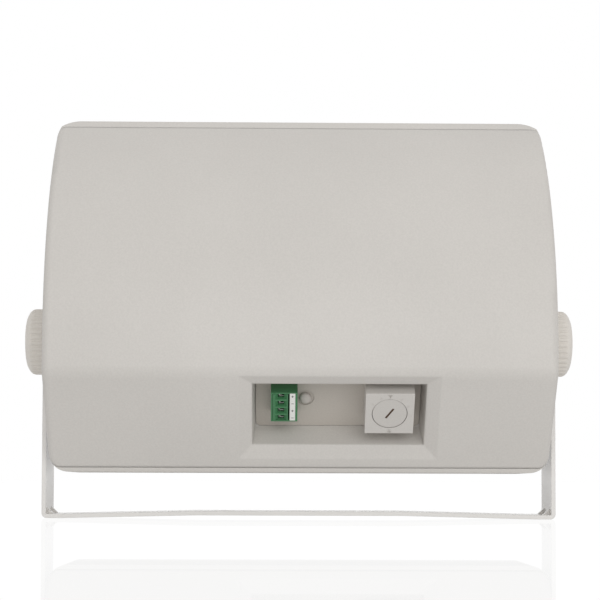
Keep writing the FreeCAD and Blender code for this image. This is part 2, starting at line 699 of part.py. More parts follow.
# ---------------------------------------------------------------- clamping parts, both sides
for side, sg in (("left", -1), ("right", 1)):
    ax = "x" if sg > 0 else "-x"
    hx = c.cab_w / 2
    # threaded brass insert, flush with the end of the cabinet
    ins = cut(side + "_ins", cyl(side + "_ins_o", 5.95, 16.5, ((hx - 16.8) * sg, 0, 0), ax),
              [cyl(side + "_ins_b", c.stud_rad + 0.05, 20.0, ((hx - 18.0) * sg, 0, 0), ax)])
    node(ins, side + "_insert", CAB)
    fp = tube(side + "_fpad", 17.5, 5.0, c.pad_t, (hx * sg, 0, 0), ax)
    node(fp, side + "_pad", CAB)
    wa = tube(side + "_wash", 9.0, 3.3, 1.2, (c.span / 2 * sg, 0, 0), ax)
    node(wa, side + "_washer", CAB)

    # knob: turned body with a serrated rim, hollow behind, stud moulded in; modelled along +Z from the arm's face
    kb = new_body(side + "_knob_body")
    sk = sketch(kb, side + "_knob_sk", "XZ_Plane")
    kr = c.knob_rad
    kh = c.knob_out - c.span / 2
    krv, khv = kr.v, kh.v
    outline(sk, [(0.0, 1.2), (9.8, 1.2), (9.8, 0.45), (kr - 0.6, 0.45), (kr, 1.0), (kr, kh - 5.2),
                 (kr - 2.6, kh - 1.6), (kr - 7.6, kh), (0.0, kh + 0.0)],
            {5: (krv - 0.72, khv - 3.0, 4.6), 6: (krv - 4.85, khv - 0.42, 9.5)})
    rv = kb.newObject("PartDesign::Revolution", side + "_knob_rev")
    rv.Profile = (sk, [""])
    rv.ReferenceAxis = (sk, ["V_Axis"])
    rv.Angle = 360.0
    doc.recompute()
    sk = sketch(kb, side + "_notch_sk", "XY_Plane", kh + 1)
    circle(sk, kr + 0.55, 0.0, 1.15)
    pk = pocket(kb, sk, kh + 2, name=side + "_notch")
    pp = kb.newObject("PartDesign::PolarPattern", side + "_serrations")
    pp.Originals = [pk]
    pp.Axis = (sk, ["N_Axis"])
    pp.Angle = 360.0
    pp.Occurrences = 36
    kb.Tip = pp
    doc.recompute()
    stud = cyl(side + "_stud", c.stud_rad, 22.0 + kh, (0, 0, -22.0))
    kn = fuse(side + "_knob_all", [kb, stud])
    kn.Placement = Pl(V(c.span.v / 2 * sg, 0, 0), TURN[ax])
    node(kn, side + "_knob", CAB)

# ---------------------------------------------------------------- recess fittings (lower-face coordinates)
def fbox(name, x0, x1, up0, up1, n0, n1):
    return box(name, (x0, -up1, n0), (x1, -up0, n1))


def fcyl(name, rad, n0, n1, x, up):
    return cyl(name, rad, n1 - n0, (x, -up, n0))


fl = -c.floor_n
pl_front = rounded("Panel_front", fbox("Panel_box", c.rec_x0 + 1.95, c.rec_x1 - 1.95, c.rec_low + 2.0, c.rec_high - 1.95, fl - c.floor_t - 0.2, fl),
                   2.85, lambda e: abs(e.Vertexes[0].Point.z - e.Vertexes[-1].Point.z) > 1)
pl_back = fbox("Panel_flange", -85.0, 40.0, 13.5, 59.5, fl - c.floor_t - 1.8, fl - c.floor_t)
p_holes = [fcyl("Panel_h%d" % i, 1.6, -30.0, -15.0, bx, up) for i, (bx, up) in enumerate(((-80.5, 22), (-80.5, 50), (35.3, 22), (35.3, 50)))]
p_holes.append(fcyl("Panel_seal_hole", 2.6, -30.0, 0.0, c.seal_x, c.seal_up))
p_holes.append(fcyl("Panel_seal_bore", 5.2, fl - 0.7, 0.0, c.seal_x, c.seal_up))
p_holes.append(fcyl("Panel_shaft_hole", 4.0, -30.0, 0.0, c.sel_x, c.sel_up))
for i in range(4):
    p_holes.append(fcyl("Panel_pin_%d" % i, 0.9, -30.0, 0.0, c.term_x + 2.6, c.term_up + (i - 1.5) * c.pitch))
panel = cut("Terminal_panel", fuse("Panel_all", [pl_front, pl_back]), p_holes)
node(panel, "terminal_panel", FACE)

# header: base, low left rim, right rib that carries the label
tw2 = c.term_w / 2
tl = c.pitch * 2 + 0.1
fr = -c.term_front
h_out = fbox("Header_out", c.term_x - tw2, c.term_x + tw2, c.term_up - tl, c.term_up + tl, fl, fr - 0.25)
h_cav = fbox("Header_cav", c.term_x - tw2 + 4.7, c.term_x + tw2 - 0.9, c.term_up - tl + 0.8, c.term_up + tl - 0.8, fl + 1.2, 0.0)
h_pins = [fbox("Header_pinhole_%d" % i, c.term_x + 2.1, c.term_x + 3.1, c.term_up + (i - 1.5) * c.pitch - 0.5, c.term_up + (i - 1.5) * c.pitch + 0.5, fl - 1, 0.0) for i in range(4)]
header = cut("Terminal_header", h_out, [h_cav] + h_pins)
node(header, "terminal_header", FACE)
pins = [fbox("Pin_%d" % i, c.term_x + 2.1, c.term_x + 3.1, c.term_up + (i - 1.5) * c.pitch - 0.5, c.term_up + (i - 1.5) * c.pitch + 0.5, fl - 7.0, fl + 4.4) for i in range(4)]
node(group("Header_pins", pins), "header_pins", FACE)
lab = fbox("Label", c.term_x - tw2 + 1.3, c.term_x - tw2 + 4.5, c.term_up - tl + 0.8, c.term_up + tl - 0.5, fr - 0.25, fr - 0.1)
node(lab, "polarity_label", FACE)

# pluggable half: block with four funnels; screws enter from the +X side
x0, x1 = c.term_x - tw2 + 5.5, c.term_x + tw2 - 1.05
pb = fbox("Plug_block", x0, x1, c.term_up - tl + 0.95, c.term_up + tl - 0.95, fl + 1.4, fr)
plug_cuts = []
for i in range(4):
    up = c.term_up + (i - 1.5) * c.pitch
    plug_cuts.append(fbox("Plug_hole_%d" % i, x0 + 2.3, x0 + 5.9, up - 1.45, up + 1.45, fr - 7.4, 0.0))
    # slot for the pin
    plug_cuts.append(fbox("Plug_pin_%d" % i, c.term_x + 1.9, c.term_x + 3.3, up - 0.7, up + 0.7, fl, fr - 6.5))
    # room for the cage to travel, and the screw's well from the +X side
    plug_cuts.append(fbox("Plug_room_%d" % i, x0 + 1.5, x0 + 6.8, up - 1.55, up + 1.55, fr - 6.8, fr - 2.6))
    plug_cuts.append(cyl("Plug_well_%d" % i, 1.55, 2.9, (x1 - 1.85, -up, fr - 4.7), "x"))
    plug_cuts.append(cyl("Plug_thru_%d" % i, 0.85, 2.9, (x1 - 3.5, -up, fr - 4.7), "x"))
    fx0, fx1 = (x0 + 0.5).v, (x1 - 1.35).v
    ax0, ax1 = (x0 + 2.3).v, (x0 + 5.9).v
    u = up.v
    n1, n0 = fr.v + 0.01, fr.v - 1.5
    wa_ = Part.makePolygon([V(fx0, -u - 2.05, n1), V(fx1, -u - 2.05, n1), V(fx1, -u + 2.05, n1), V(fx0, -u + 2.05, n1), V(fx0, -u - 2.05, n1)])
    wb_ = Part.makePolygon([V(ax0, -u - 1.45, n0), V(ax1, -u - 1.45, n0), V(ax1, -u + 1.45, n0), V(ax0, -u + 1.45, n0), V(ax0, -u - 1.45, n0)])
    f = doc.addObject("Part::Feature", "Funnel_%d" % i)
    f.Shape = Part.makeLoft([wa_, wb_], True, True)
    plug_cuts.append(f)
plug = cut("Terminal_plug", pb, plug_cuts)
node(plug, "terminal_plug", FACE)
for i in range(4):
    up = c.term_up + (i - 1.5) * c.pitch
    # rising cage: a square frame around the wire hole
    ca = cut("Cage_%d" % i, fbox("Cage_o%d" % i, x0 + 1.7, x0 + 5.5, up - 1.35, up + 1.35, fr - 6.5, fr - 2.9),
             [fbox("Cage_i%d" % i, x0 + 2.2, x0 + 4.7, up - 0.95, up + 0.95, fr - 8.0, fr - 2.0),
              cyl("Cage_t%d" % i, 0.75, 3.0, (x0 + 4.3, -up, fr - 4.7), "x")])
    node(ca, "clamp_cage_%d" % (i + 1), FACE)
    sc = cut("Cscrew_%d" % i, fuse("Cscrew_f%d" % i, [
        cyl("Cscrew_h%d" % i, 1.45, 1.3, (x1 - 1.7, -up, fr - 4.7), "x"),
        cyl("Cscrew_s%d" % i, 0.7, 3.4, (x1 - 4.9, -up, fr - 4.7), "x")]),
        [box("Cscrew_slot%d" % i, (x1 - 0.9, -up - 0.25, fr - 6.5), (x1 + 1.0, -up + 0.25, fr - 2.9))])
    node(sc, "clamp_screw_%d" % (i + 1), FACE)

# selector: square housing with a round dial let into its face
sw = c.sel_w / 2
sf = -c.sel_front
so = fbox("Sel_out", c.sel_x - sw, c.sel_x + sw, c.sel_up - sw, c.sel_up + sw, fl, sf)
so_r = rounded("Sel_round", so, 0.35, lambda e: True)
s_cuts = [
    fbox("Sel_in", c.sel_x - sw + 1.6, c.sel_x + sw - 1.6, c.sel_up - sw + 1.6, c.sel_up + sw - 1.6, fl - 1, sf - 2.4),
    fcyl("Sel_bore", c.dial_rad + 0.25, sf - 6, sf + 2, c.sel_x, c.sel_up),
]
for k, sgn in enumerate((1, -1)):
    tip = c.dial_rad.v + 0.75
    base_ = c.dial_rad.v + 3.4
    p3 = [V(c.sel_x.v - 1.35, -(c.sel_up.v + sgn * base_), 0), V(c.sel_x.v + 1.35, -(c.sel_up.v + sgn * base_), 0), V(c.sel_x.v, -(c.sel_up.v + sgn * tip), 0)]
    w3 = Part.makePolygon([V(p.x, p.y, sf.v - 0.7) for p in p3] + [V(p3[0].x, p3[0].y, sf.v - 0.7)])
    f = doc.addObject("Part::Feature", "Sel_mark_%d" % k)
    f.Shape = Part.Face(w3).extrude(V(0, 0, 2))
    s_cuts.append(f)
selh = cut("Selector_housing", so_r, s_cuts)
node(selh, "selector_housing", FACE)
# dial, slot turned 34 degrees clockwise from up the slope
dc = cut("Dial", fuse("Dial_f", [
    rounded("Dial_disc", fcyl("Dial_disc0", c.dial_rad, sf - 2.2, sf - 0.25, c.sel_x, c.sel_up), 0.3, lambda e: mid(e).z > -2.0 and e.Length > 30),
    fcyl("Dial_hub", 4.6, sf - 8.0, sf - 2.0, c.sel_x, c.sel_up)]),
    [fcyl("Dial_bore", 3.0, sf - 9.0, sf - 3.4, c.sel_x, c.sel_up)])
slot = doc.addObject("Part::Box", "Dial_slot")
slot.Length, slot.Width, slot.Height = 1.2, 8.0, 3.0
slot.Placement = Pl(V(c.sel_x.v, -c.sel_up.v, sf.v - 1.7), Rot(V(0, 0, 1), -34.0)).multiply(Pl(V(-0.6, -4.0, 0), Rot()))
dial = cut("Selector_dial", dc, [slot])
node(dial, "selector_dial", FACE)
shaft = fcyl("Switch_shaft", 3.0, fl - 4.5, sf - 3.4, c.sel_x, c.sel_up)
node(shaft, "switch_shaft", FACE)
sb = cut("Switch_body", fuse("Switch_f", [
    fcyl("Switch_b", 10.5, fl - 11.5, fl - c.floor_t - 1.8, c.sel_x, c.sel_up),
    fcyl("Switch_n", 3.95, fl - c.floor_t - 2.5, fl + 2.0, c.sel_x, c.sel_up)]),
    [fcyl("Switch_bore", 3.05, fl - 4.6, fl + 5, c.sel_x, c.sel_up)])
node(sb, "switch_body", FACE)
# seal plug: domed head in the counterbore, stem through the panel, retaining bead behind
sp = turned("Seal", [(0.0, -5.6), (2.0, -5.6), (3.1, -4.9), (2.5, -4.35), (2.5, -0.65), (3.5, -0.65), (3.5, 0.7), (3.2, 1.4), (2.4, 2.0), (1.2, 2.3), (0.0, 2.4)])
sp.Placement = Pl(V(c.seal_x.v, -c.seal_up.v, fl.v), Rot())
node(sp, "seal_plug", FACE)
psc = []
for i, (bx, up) in enumerate(((-80.5, 22), (-80.5, 50), (35.3, 22), (35.3, 50))):
    n_b = fl - c.floor_t - 1.8
    psc.append(cut("Pscrew_%d" % i, fuse("Pscrew_f%d" % i, [fcyl("Pscrew_h%d" % i, 2.6, n_b - 1.8, n_b, bx, up), fcyl("Pscrew_s%d" % i, 1.1, n_b - 0.5, fl + 3.5, bx, up)]),
                   [fbox("Pscrew_c%d" % i, bx - 2.0, bx + 2.0, up - 0.35, up + 0.35, n_b - 3.0, n_b - 0.9)]))
node(group("Panel_screws", psc), "panel_screws", FACE)

# ---------------------------------------------------------------- cabinet screws
cs = []
for i, (bx, bz) in enumerate(SCREWS):
    y0 = -c.baffle_y + 42.0
    cs.append(cut("Cabscrew_%d" % i, fuse("Cabscrew_f%d" % i, [
        cyl("Cabscrew_h%d" % i, 3.8, 2.6, (bx, y0 - 2.6, bz), "y"),
        cyl("Cabscrew_s%d" % i, 1.7, 31.0, (bx, y0 - 0.5, bz), "y")]),
        [box("Cabscrew_x%d" % i, (bx - 2.4, y0 - 4.0, bz - 0.45), (bx + 2.4, y0 - 1.3, bz + 0.45)),
         box("Cabscrew_y%d" % i, (bx - 0.45, y0 - 4.0, bz - 2.4), (bx + 0.45, y0 - 1.3, bz + 2.4))]))
node(group("Cabinet_screws", cs), "cabinet_screws", CAB)

# ---------------------------------------------------------------- grille and cloth
g1 = ring_profile("Grille_a", -(c.baffle_y + 0.4), 14.0, 6.6, 0.0, False, 5.5)
g2 = ring_profile("Grille_b", -(c.baffle_y + 0.3), 15.0, 5.7, 0.0, False, 4.5)
grille = cut("Grille", g1, [g2])
grille_r = rounded("Grille_round", grille, 0.9, lambda e: abs(mid(e).y + c.baffle_y.v + 7.0) < 0.02 and abs(e.Vertexes[0].Point.y + c.baffle_y.v + 7.0) < 0.02)
node(grille_r, "grille", CAB)
cloth = ring_profile("Cloth", -(c.baffle_y + 5.4), 15.4, 0.5, 0.0, False, 4.2)
node(cloth, "grille_cloth", CAB)

# ---------------------------------------------------------------- woofer (axis +Z out of the baffle, z = 0 on the baffle's front)
WO = CAB.multiply(Pl(V(c.woof_x.v, -c.baffle_y.v, c.woof_z.v), Rot(V(1, 0, 0), 90)))
fw = turned("Woofer_frame_body", [
    (72.6, 0.0), (c.woof_rad, 0.0), (c.woof_rad, 1.6), (75.0, 1.6), (74.6, 0.9), (71.6, 0.9), (71.4, -1.5),
    (52.0, -30.0), (40.5, -34.2), (40.5, -48.2), (20.0, -48.2), (20.0, -49.6), (41.9, -49.6), (41.9, -35.2), (53.3, -31.0), (72.6, -2.4)])
wins = []
for k in range(6):
    wb = doc.addObject("Part::Box", "Basket_win_%d" % k)
    wb.Length, wb.Width, wb.Height = 40.0, 34.0, 23.0
    wb.Placement = Pl(V(0, 0, 0), Rot(V(0, 0, 1), 30 + 60 * k)).multiply(Pl(V(45.0, -17.0, -29.0), Rot()))
    wins.append(wb)
for k in range(4):
    a = math.radians(45 + 90 * k)
    wins.append(cyl("Wframe_h%d" % k, 2.2, 6.0, (77.8 * math.cos(a), 77.8 * math.sin(a), -3.0)))
wf = cut("Woofer_frame", fw, wins)
node(wf, "woofer_frame", WO)
sur = turned("Woofer_surround_b", [(62.2, 1.0), (62.9, 1.0), (73.2, 1.0), (74.2, 1.0), (74.2, 1.8), (73.0, 1.8), (63.2, 1.8), (62.2, 1.8)],
             {1: (68.05, 4.9, 6.2), 5: (68.1, 5.7, 5.6)})
node(sur, "woofer_surround", WO)
con = turned("Woofer_cone_b", [(18.3, -23.0), (62.2, 0.4), (63.2, 0.9), (62.2, 0.9), (61.6, 0.95), (18.3, -22.1)])
node(con, "woofer_cone", WO)
dome_o = [(0.0, -14.0), (2.0, -14.05), (5.0, -14.5), (8.0, -15.25), (11.0, -16.35), (14.0, -17.8), (17.0, -19.6), (19.6, -21.3)]
dome_i = [(19.2, -21.55), (16.8, -20.1), (13.8, -18.35), (10.8, -16.9), (7.8, -15.85), (4.9, -15.1), (2.0, -14.65), (0.0, -14.6)]
cap = turned("Dust_cap_b", dome_o + dome_i)
node(cap, "woofer_dust_cap", WO)
vc = turned("Voice_coil_b", [(17.0, -54.0), (17.9, -54.0), (17.9, -44.0), (17.4, -44.0), (17.4, -23.0), (17.0, -23.0)])
node(vc, "woofer_voice_coil", WO)
spi = turned("Spider_b", [(17.6, -35.0), (20, -34.0), (23, -36.0), (26, -34.0), (29, -36.0), (32, -34.0), (35, -36.0), (38, -34.6), (40.2, -34.6),
                          (40.2, -34.0), (38, -34.0), (35, -35.4), (32, -33.4), (29, -35.4), (26, -33.4), (23, -35.4), (20, -33.4), (17.6, -34.4)])
node(spi, "woofer_spider", WO)
node(turned("Top_plate_b", [(18.7, -54.6), (40.0, -54.6), (40.0, -49.6), (18.7, -49.6)]), "woofer_top_plate", WO)
node(turned("Magnet_b", [(22.5, -69.6), (44.0, -69.6), (44.0, -54.6), (22.5, -54.6)]), "woofer_magnet", WO)
node(turned("Back_plate_b", [(4.0, -74.6), (40.0, -74.6), (40.0, -69.6), (16.3, -69.6), (16.3, -49.6), (4.0, -49.6)]), "woofer_back_plate", WO)
ws = []
for k in range(4):
    a = math.radians(45 + 90 * k)
    px, py = 77.8 * math.cos(a), 77.8 * math.sin(a)
    ws.append(cut("Wscrew_%d" % k, fuse("Wscrew_f%d" % k, [cyl("Wscrew_h%d" % k, 3.6, 1.8, (px, py, 1.6)), cyl("Wscrew_s%d" % k, 1.5, 5.2, (px, py, -3.3))]),
                  [box("Wscrew_x%d" % k, (px - 2.0, py - 0.4, 2.5), (px + 2.0, py + 0.4, 4.0)), box("Wscrew_y%d" % k, (px - 0.4, py - 2.0, 2.5), (px + 0.4, py + 2.0, 4.0))]))
node(group("Woofer_screws", ws), "woofer_screws", WO)

# ---------------------------------------------------------------- tweeter
TW = CAB.multiply(Pl(V(c.tw_x.v, -c.baffle_y.v, c.tw_z.v), Rot(V(1, 0, 0), 90)))
tp = cut("Tweeter_plate", turned("Tweeter_plate_b", [(14.6, -2.4), (21.5, -2.4), (21.5, 0.0), (c.tw_rad, 0.0), (c.tw_rad, 2.4), (25.0, 2.6), (14.6, -1.0)]),
         [cyl("Tplate_h%d" % k, 1.7, 8.0, (28.5 * math.cos(math.radians(45 + 90 * k)), 28.5 * math.sin(math.radians(45 + 90 * k)), -2.0)) for k in range(4)])
node(tp, "tweeter_plate", TW)
tdome = [(0.0, 2.5), (1.5, 2.45), (4.0, 2.1), (6.5, 1.45), (9.0, 0.4), (11.0, -0.8), (12.6, -2.0), (13.4, -1.6), (14.3, -1.9), (14.3, -2.4),
         (12.3, -2.4), (10.8, -1.35), (8.8, -0.15), (6.4, 0.95), (3.9, 1.6), (1.5, 1.95), (0.0, 2.0)]
node(turned("Tweeter_dome_b", tdome), "tweeter_dome", TW)
node(turned("Tweeter_magnet_b", [(13.5, -14.0), (20.0, -14.0), (20.0, -5.4), (13.5, -5.4)]), "tweeter_magnet", TW)
node(turned("Tweeter_yoke_b", [(0.0, -17.0), (19.0, -17.0), (19.0, -14.0), (11.8, -14.0), (11.8, -2.8), (0.0, -2.8)]), "tweeter_yoke", TW)
node(turned("Tweeter_top_b", [(12.9, -5.4), (19.0, -5.4), (19.0, -2.4), (12.9, -2.4)]), "tweeter_top_plate", TW)
ts = []
for k in range(4):
    a = math.radians(45 + 90 * k)
    px, py = 28.5 * math.cos(a), 28.5 * math.sin(a)
    ts.append(cut("Tscrew_%d" % k, fuse("Tscrew_f%d" % k, [cyl("Tscrew_h%d" % k, 2.5, 1.4, (px, py, 2.6)), cyl("Tscrew_s%d" % k, 1.1, 5.8, (px, py, -3.2))]),
                  [box("Tscrew_x%d" % k, (px - 1.5, py - 0.3, 3.2), (px + 1.5, py + 0.3, 5.0)), box("Tscrew_y%d" % k, (px - 0.3, py - 1.5, 3.2), (px + 0.3, py + 1.5, 5.0))]))
node(group("Tweeter_screws", ts), "tweeter_screws", TW)

# ---------------------------------------------------------------- line transformer, on the bosses of the rear shell
cx, cz_ = -95.0, 10.0
core = cut("Transformer_core", box("Core_o", (cx - 21.0, 30.0, cz_ - 17.5), (cx + 21.0, 46.0, cz_ + 17.5)),
           [box("Core_w1", (cx - 14.0, 25.0, cz_ - 10.5), (cx - 7.0, 50.0, cz_ + 10.5)), box("Core_w2", (cx + 7.0, 25.0, cz_ - 10.5), (cx + 14.0, 50.0, cz_ + 10.5))])
node(core, "transformer_core", CAB)
wind = cut("Transformer_winding", box("Wind_o", (cx - 13.8, 23.5, cz_ - 10.3), (cx + 13.8, 51.0, cz_ + 10.3)),
           [box("Wind_i", (cx - 7.1, 29.9, cz_ - 12.0), (cx + 7.1, 46.1, cz_ + 12.0))])
node(wind, "transformer_winding", CAB)
tf = cut("Transformer_frame", fuse("Tframe_f", [
    box("Tframe_a", (cx - 22.2, 30.0, cz_ + 17.5), (cx + 22.2, 46.0, cz_ + 18.7)),
    box("Tframe_c", (cx - 22.2, 30.0, cz_ - 18.7), (cx + 22.2, 46.0, cz_ - 17.5)),
    box("Tframe_f1", (cx - 22.2, 50.8, cz_ + 17.5), (cx + 22.2, 52.0, cz_ + 28.0)),
    box("Tframe_f2", (cx - 22.2, 50.8, cz_ - 28.0), (cx + 22.2, 52.0, cz_ - 17.5)),
    box("Tframe_l1", (cx - 22.2, 45.0, cz_ + 17.5), (cx + 22.2, 52.0, cz_ + 18.7)),
    box("Tframe_l2", (cx - 22.2, 45.0, cz_ - 18.7), (cx + 22.2, 52.0, cz_ - 17.5)),
    box("Tframe_s1", (cx - 22.2, 30.0, cz_ - 18.7), (cx - 21.0, 46.0, cz_ + 18.7)),
    box("Tframe_s2", (cx + 21.0, 30.0, cz_ - 18.7), (cx + 22.2, 46.0, cz_ + 18.7))]),
    [cyl("Tframe_h%d" % i, 1.8, 6.0, (bx, 49.0, bz), "y") for i, (bx, bz) in enumerate(((-112, 34), (-78, 34), (-112, -14), (-78, -14)))]
    + [cyl("Tframe_lead%d" % i, 1.6, 4.0, (-74.5, ly, lz), "x") for i, (ly, lz) in enumerate(((36.0, 14.0), (36.0, 4.0), (42.0, 10.0), (42.0, 17.0)))])
node(tf, "transformer_frame", CAB)
trs = []
for i, (bx, bz) in enumerate(((-112, 34), (-78, 34), (-112, -14), (-78, -14))):
    trs.append(fuse("Trscrew_%d" % i, [cyl("Trscrew_h%d" % i, 2.9, 1.8, (bx, 49.0, bz), "y"), cyl("Trscrew_s%d" % i, 1.2, 7.0, (bx, 50.5, bz), "y")]))

# ---------------------------------------------------------------- crossover
bd = cut("Crossover_board", box("Board", (78.0, 48.4, -8.0), (132.0, 50.0, 46.0)),
         [cyl("Board_h%d" % i, 1.6, 6.0, (bx, 46.0, bz), "y") for i, (bx, bz) in enumerate(((84, 40), (126, 40), (84, -2), (126, -2)))])
node(bd, "crossover_board", CAB)
for i, (bx, bz) in enumerate(((84, 40), (126, 40), (84, -2), (126, -2))):
    trs.append(fuse("Bscrew_%d" % i, [cyl("Bscrew_h%d" % i, 2.9, 1.8, (bx, 46.6, bz), "y"), cyl("Bscrew_s%d" % i, 1.2, 7.0, (bx, 48.1, bz), "y")]))
node(group("Inner_screws", trs), "inner_screws", CAB)
capn = rounded("Capacitor_r", box("Capacitor", (92.0, 33.4, 26.0), (118.0, 48.4, 37.0)), 1.5, lambda e: mid(e).y < 40)
node(capn, "crossover_capacitor", CAB)
ind = fuse("Inductor", [tube("Ind_coil", 11.5, 5.0, 9.0, (108.0, 38.4, 10.0), "y"), tube("Ind_f1", 13.0, 4.0, 1.0, (108.0, 47.4, 10.0), "y"), tube("Ind_f2", 13.0, 4.0, 1.0, (108.0, 37.4, 10.0), "y"),
                        tube("Ind_core", 5.0, 4.0, 11.0, (108.0, 37.4, 10.0), "y")])
node(ind, "crossover_inductor", CAB)

# ---------------------------------------------------------------- wadding under the top wall
node(rounded("Wadding_r", box("Wadding", (-110.0, -36.0, 118.5), (110.0, 4.0, 126.5)), 2.5, lambda e: True), "damping_pad", CAB)


# ---------------------------------------------------------------- internal leads: straight runs with tangent arcs
def lead(name, pts, rad):
    P = [V(*p) for p in pts]
    edges = []
    prev = P[0]
    for i in range(1, len(P) - 1):
        a, b, d = P[i - 1], P[i], P[i + 1]
        u = (a - b)
        v = (d - b)
        la, lb = u.Length, v.Length
        u.normalize()
        v.normalize()
        turn = math.pi - u.getAngle(v)
        r = 0.45 * min(la, lb) / math.tan(turn / 2)
        tl_ = r * math.tan(turn / 2)
        p1 = b + u * tl_
        p2 = b + v * tl_
        bis = (u + v)
        bis.normalize()
        cen = b + bis * (r / math.cos(turn / 2))
        m_ = cen + (b - cen).normalize() * r
        edges.append(Part.LineSegment(prev, p1).toShape())
        edges.append(Part.Arc(p1, m_, p2).toShape())
        prev = p2
        print("%s bend radius %.1f" % (name, r))
    edges.append(Part.LineSegment(prev, P[-1]).toShape())
    wire = Part.Wire(edges)
    d0 = (P[1] - P[0]).normalize()
    prof = Part.Wire(Part.makeCircle(rad, P[0], d0))
    sh = wire.makePipeShell([prof], True, True)
    k = sh.Volume / (math.pi * rad * rad * wire.Length)
    if abs(k - 1) > 0.01:
        raise RuntimeError("lead %s volume ratio %.3f" % (name, k))
    f = doc.addObject("Part::Feature", name)
    f.Shape = sh
    return f


fl_c = FACE_L
pin_tip = [fl_c.multVec(V((c.term_x + 2.6).v, -(c.term_up + (i - 1.5) * c.pitch).v, fl.v - 7.0)) for i in range(4)]
tipA, tipB = pin_tip[3], pin_tip[0]
away = fl_c.Rotation.multVec(V(0, 0, -1))


def off(p, k, dx=0, dy=0, dz=0):
    q_ = p + away * k
    return (q_.x + dx, q_.y + dy, q_.z + dz)


la1 = lead("Lead_in_a", [off(tipA, 0.0), off(tipA, 9.0), off(tipA, 12.0, -22, 4, 12), off(tipA, 8.0, -48, 6, 22), (-73.0, 36.0, 14.0)], 0.9)
la2 = lead("Lead_in_b", [off(tipB, 0.0), off(tipB, 9.0), off(tipB, 13.0, -20, 2, 10), off(tipB, 12.0, -46, 8, 24), (-73.0, 36.0, 4.0)], 0.9)
node(group("Input_leads", [la1, la2]), "input_leads", CAB)
lb1 = lead("Lead_x_a", [(-73.0, 42.0, 10.0), (-58.0, 43.0, 12.0), (-30.0, 46.0, 22.0), (8.0, 48.0, 26.0), (46.0, 47.0, 22.0), (78.0, 49.2, 20.0)], 0.9)
lb2 = lead("Lead_x_b", [(-73.0, 42.0, 17.0), (-58.0, 42.5, 20.0), (-30.0, 45.0, 32.0), (8.0, 47.0, 36.0), (46.0, 46.0, 32.0), (78.0, 49.2, 30.0)], 0.9)
node(group("Crossover_leads", [lb1, lb2]), "crossover_leads", CAB)

# ---------------------------------------------------------------- checks and export
doc.recompute()
bad = []
for o in doc.Objects:
    st = [str(x) for x in o.State]
    if "Invalid" in st or "Error" in st:
        bad.append("%s (%s): %s" % (o.Name, o.Label, st))
for o in NODES:
    if o.Shape.isNull() or not o.Shape.isValid():
        bad.append("%s: shape null or invalid" % o.Label)
    elif len(o.Shape.Solids) < 1:
        bad.append("%s: no solid" % o.Label)
if bad:
    raise RuntimeError("failed objects:\n" + "\n".join(bad))
labels = [o.Label for o in NODES]
if len(set(labels)) != len(labels):
    raise RuntimeError("labels repeat")
os.makedirs("parts", exist_ok=True)
for o in NODES:
    o.Shape.exportStep("parts/%s.step" % o.Label)
    bb = o.Shape.BoundBox
    print("%-22s solids %d vol %9.1f  x %.1f..%.1f y %.1f..%.1f z %.1f..%.1f" % (
        o.Label, len(o.Shape.Solids), o.Shape.Volume, bb.XMin, bb.XMax, bb.YMin, bb.YMax, bb.ZMin, bb.ZMax))
print("nodes", len(NODES))
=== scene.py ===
import bpy
import bmesh
import math
from mathutils import Matrix, Vector


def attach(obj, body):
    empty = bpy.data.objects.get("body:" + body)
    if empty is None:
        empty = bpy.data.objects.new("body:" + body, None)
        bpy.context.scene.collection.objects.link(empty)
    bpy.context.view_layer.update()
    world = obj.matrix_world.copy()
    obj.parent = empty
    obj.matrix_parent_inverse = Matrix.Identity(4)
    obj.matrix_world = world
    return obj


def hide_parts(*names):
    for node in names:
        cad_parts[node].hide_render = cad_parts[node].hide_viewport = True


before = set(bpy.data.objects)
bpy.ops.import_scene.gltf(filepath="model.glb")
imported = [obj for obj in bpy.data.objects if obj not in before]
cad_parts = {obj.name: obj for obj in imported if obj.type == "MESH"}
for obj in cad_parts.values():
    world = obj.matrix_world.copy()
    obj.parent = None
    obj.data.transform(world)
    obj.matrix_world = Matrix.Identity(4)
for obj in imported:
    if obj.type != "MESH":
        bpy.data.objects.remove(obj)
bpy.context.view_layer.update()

# ------------------------------------------------------------------ frames of the assembly, metres
TILT = math.radians(8.7)
SLOPE = math.radians(270.0 - 46.7)
CAB = Matrix.Translation((0, 0, 0.104)) @ Matrix.Rotation(TILT, 4, "X")
FACE = CAB @ Matrix.Translation((0, 0.0128, -0.0786)) @ Matrix.Rotation(SLOPE, 4, "X")


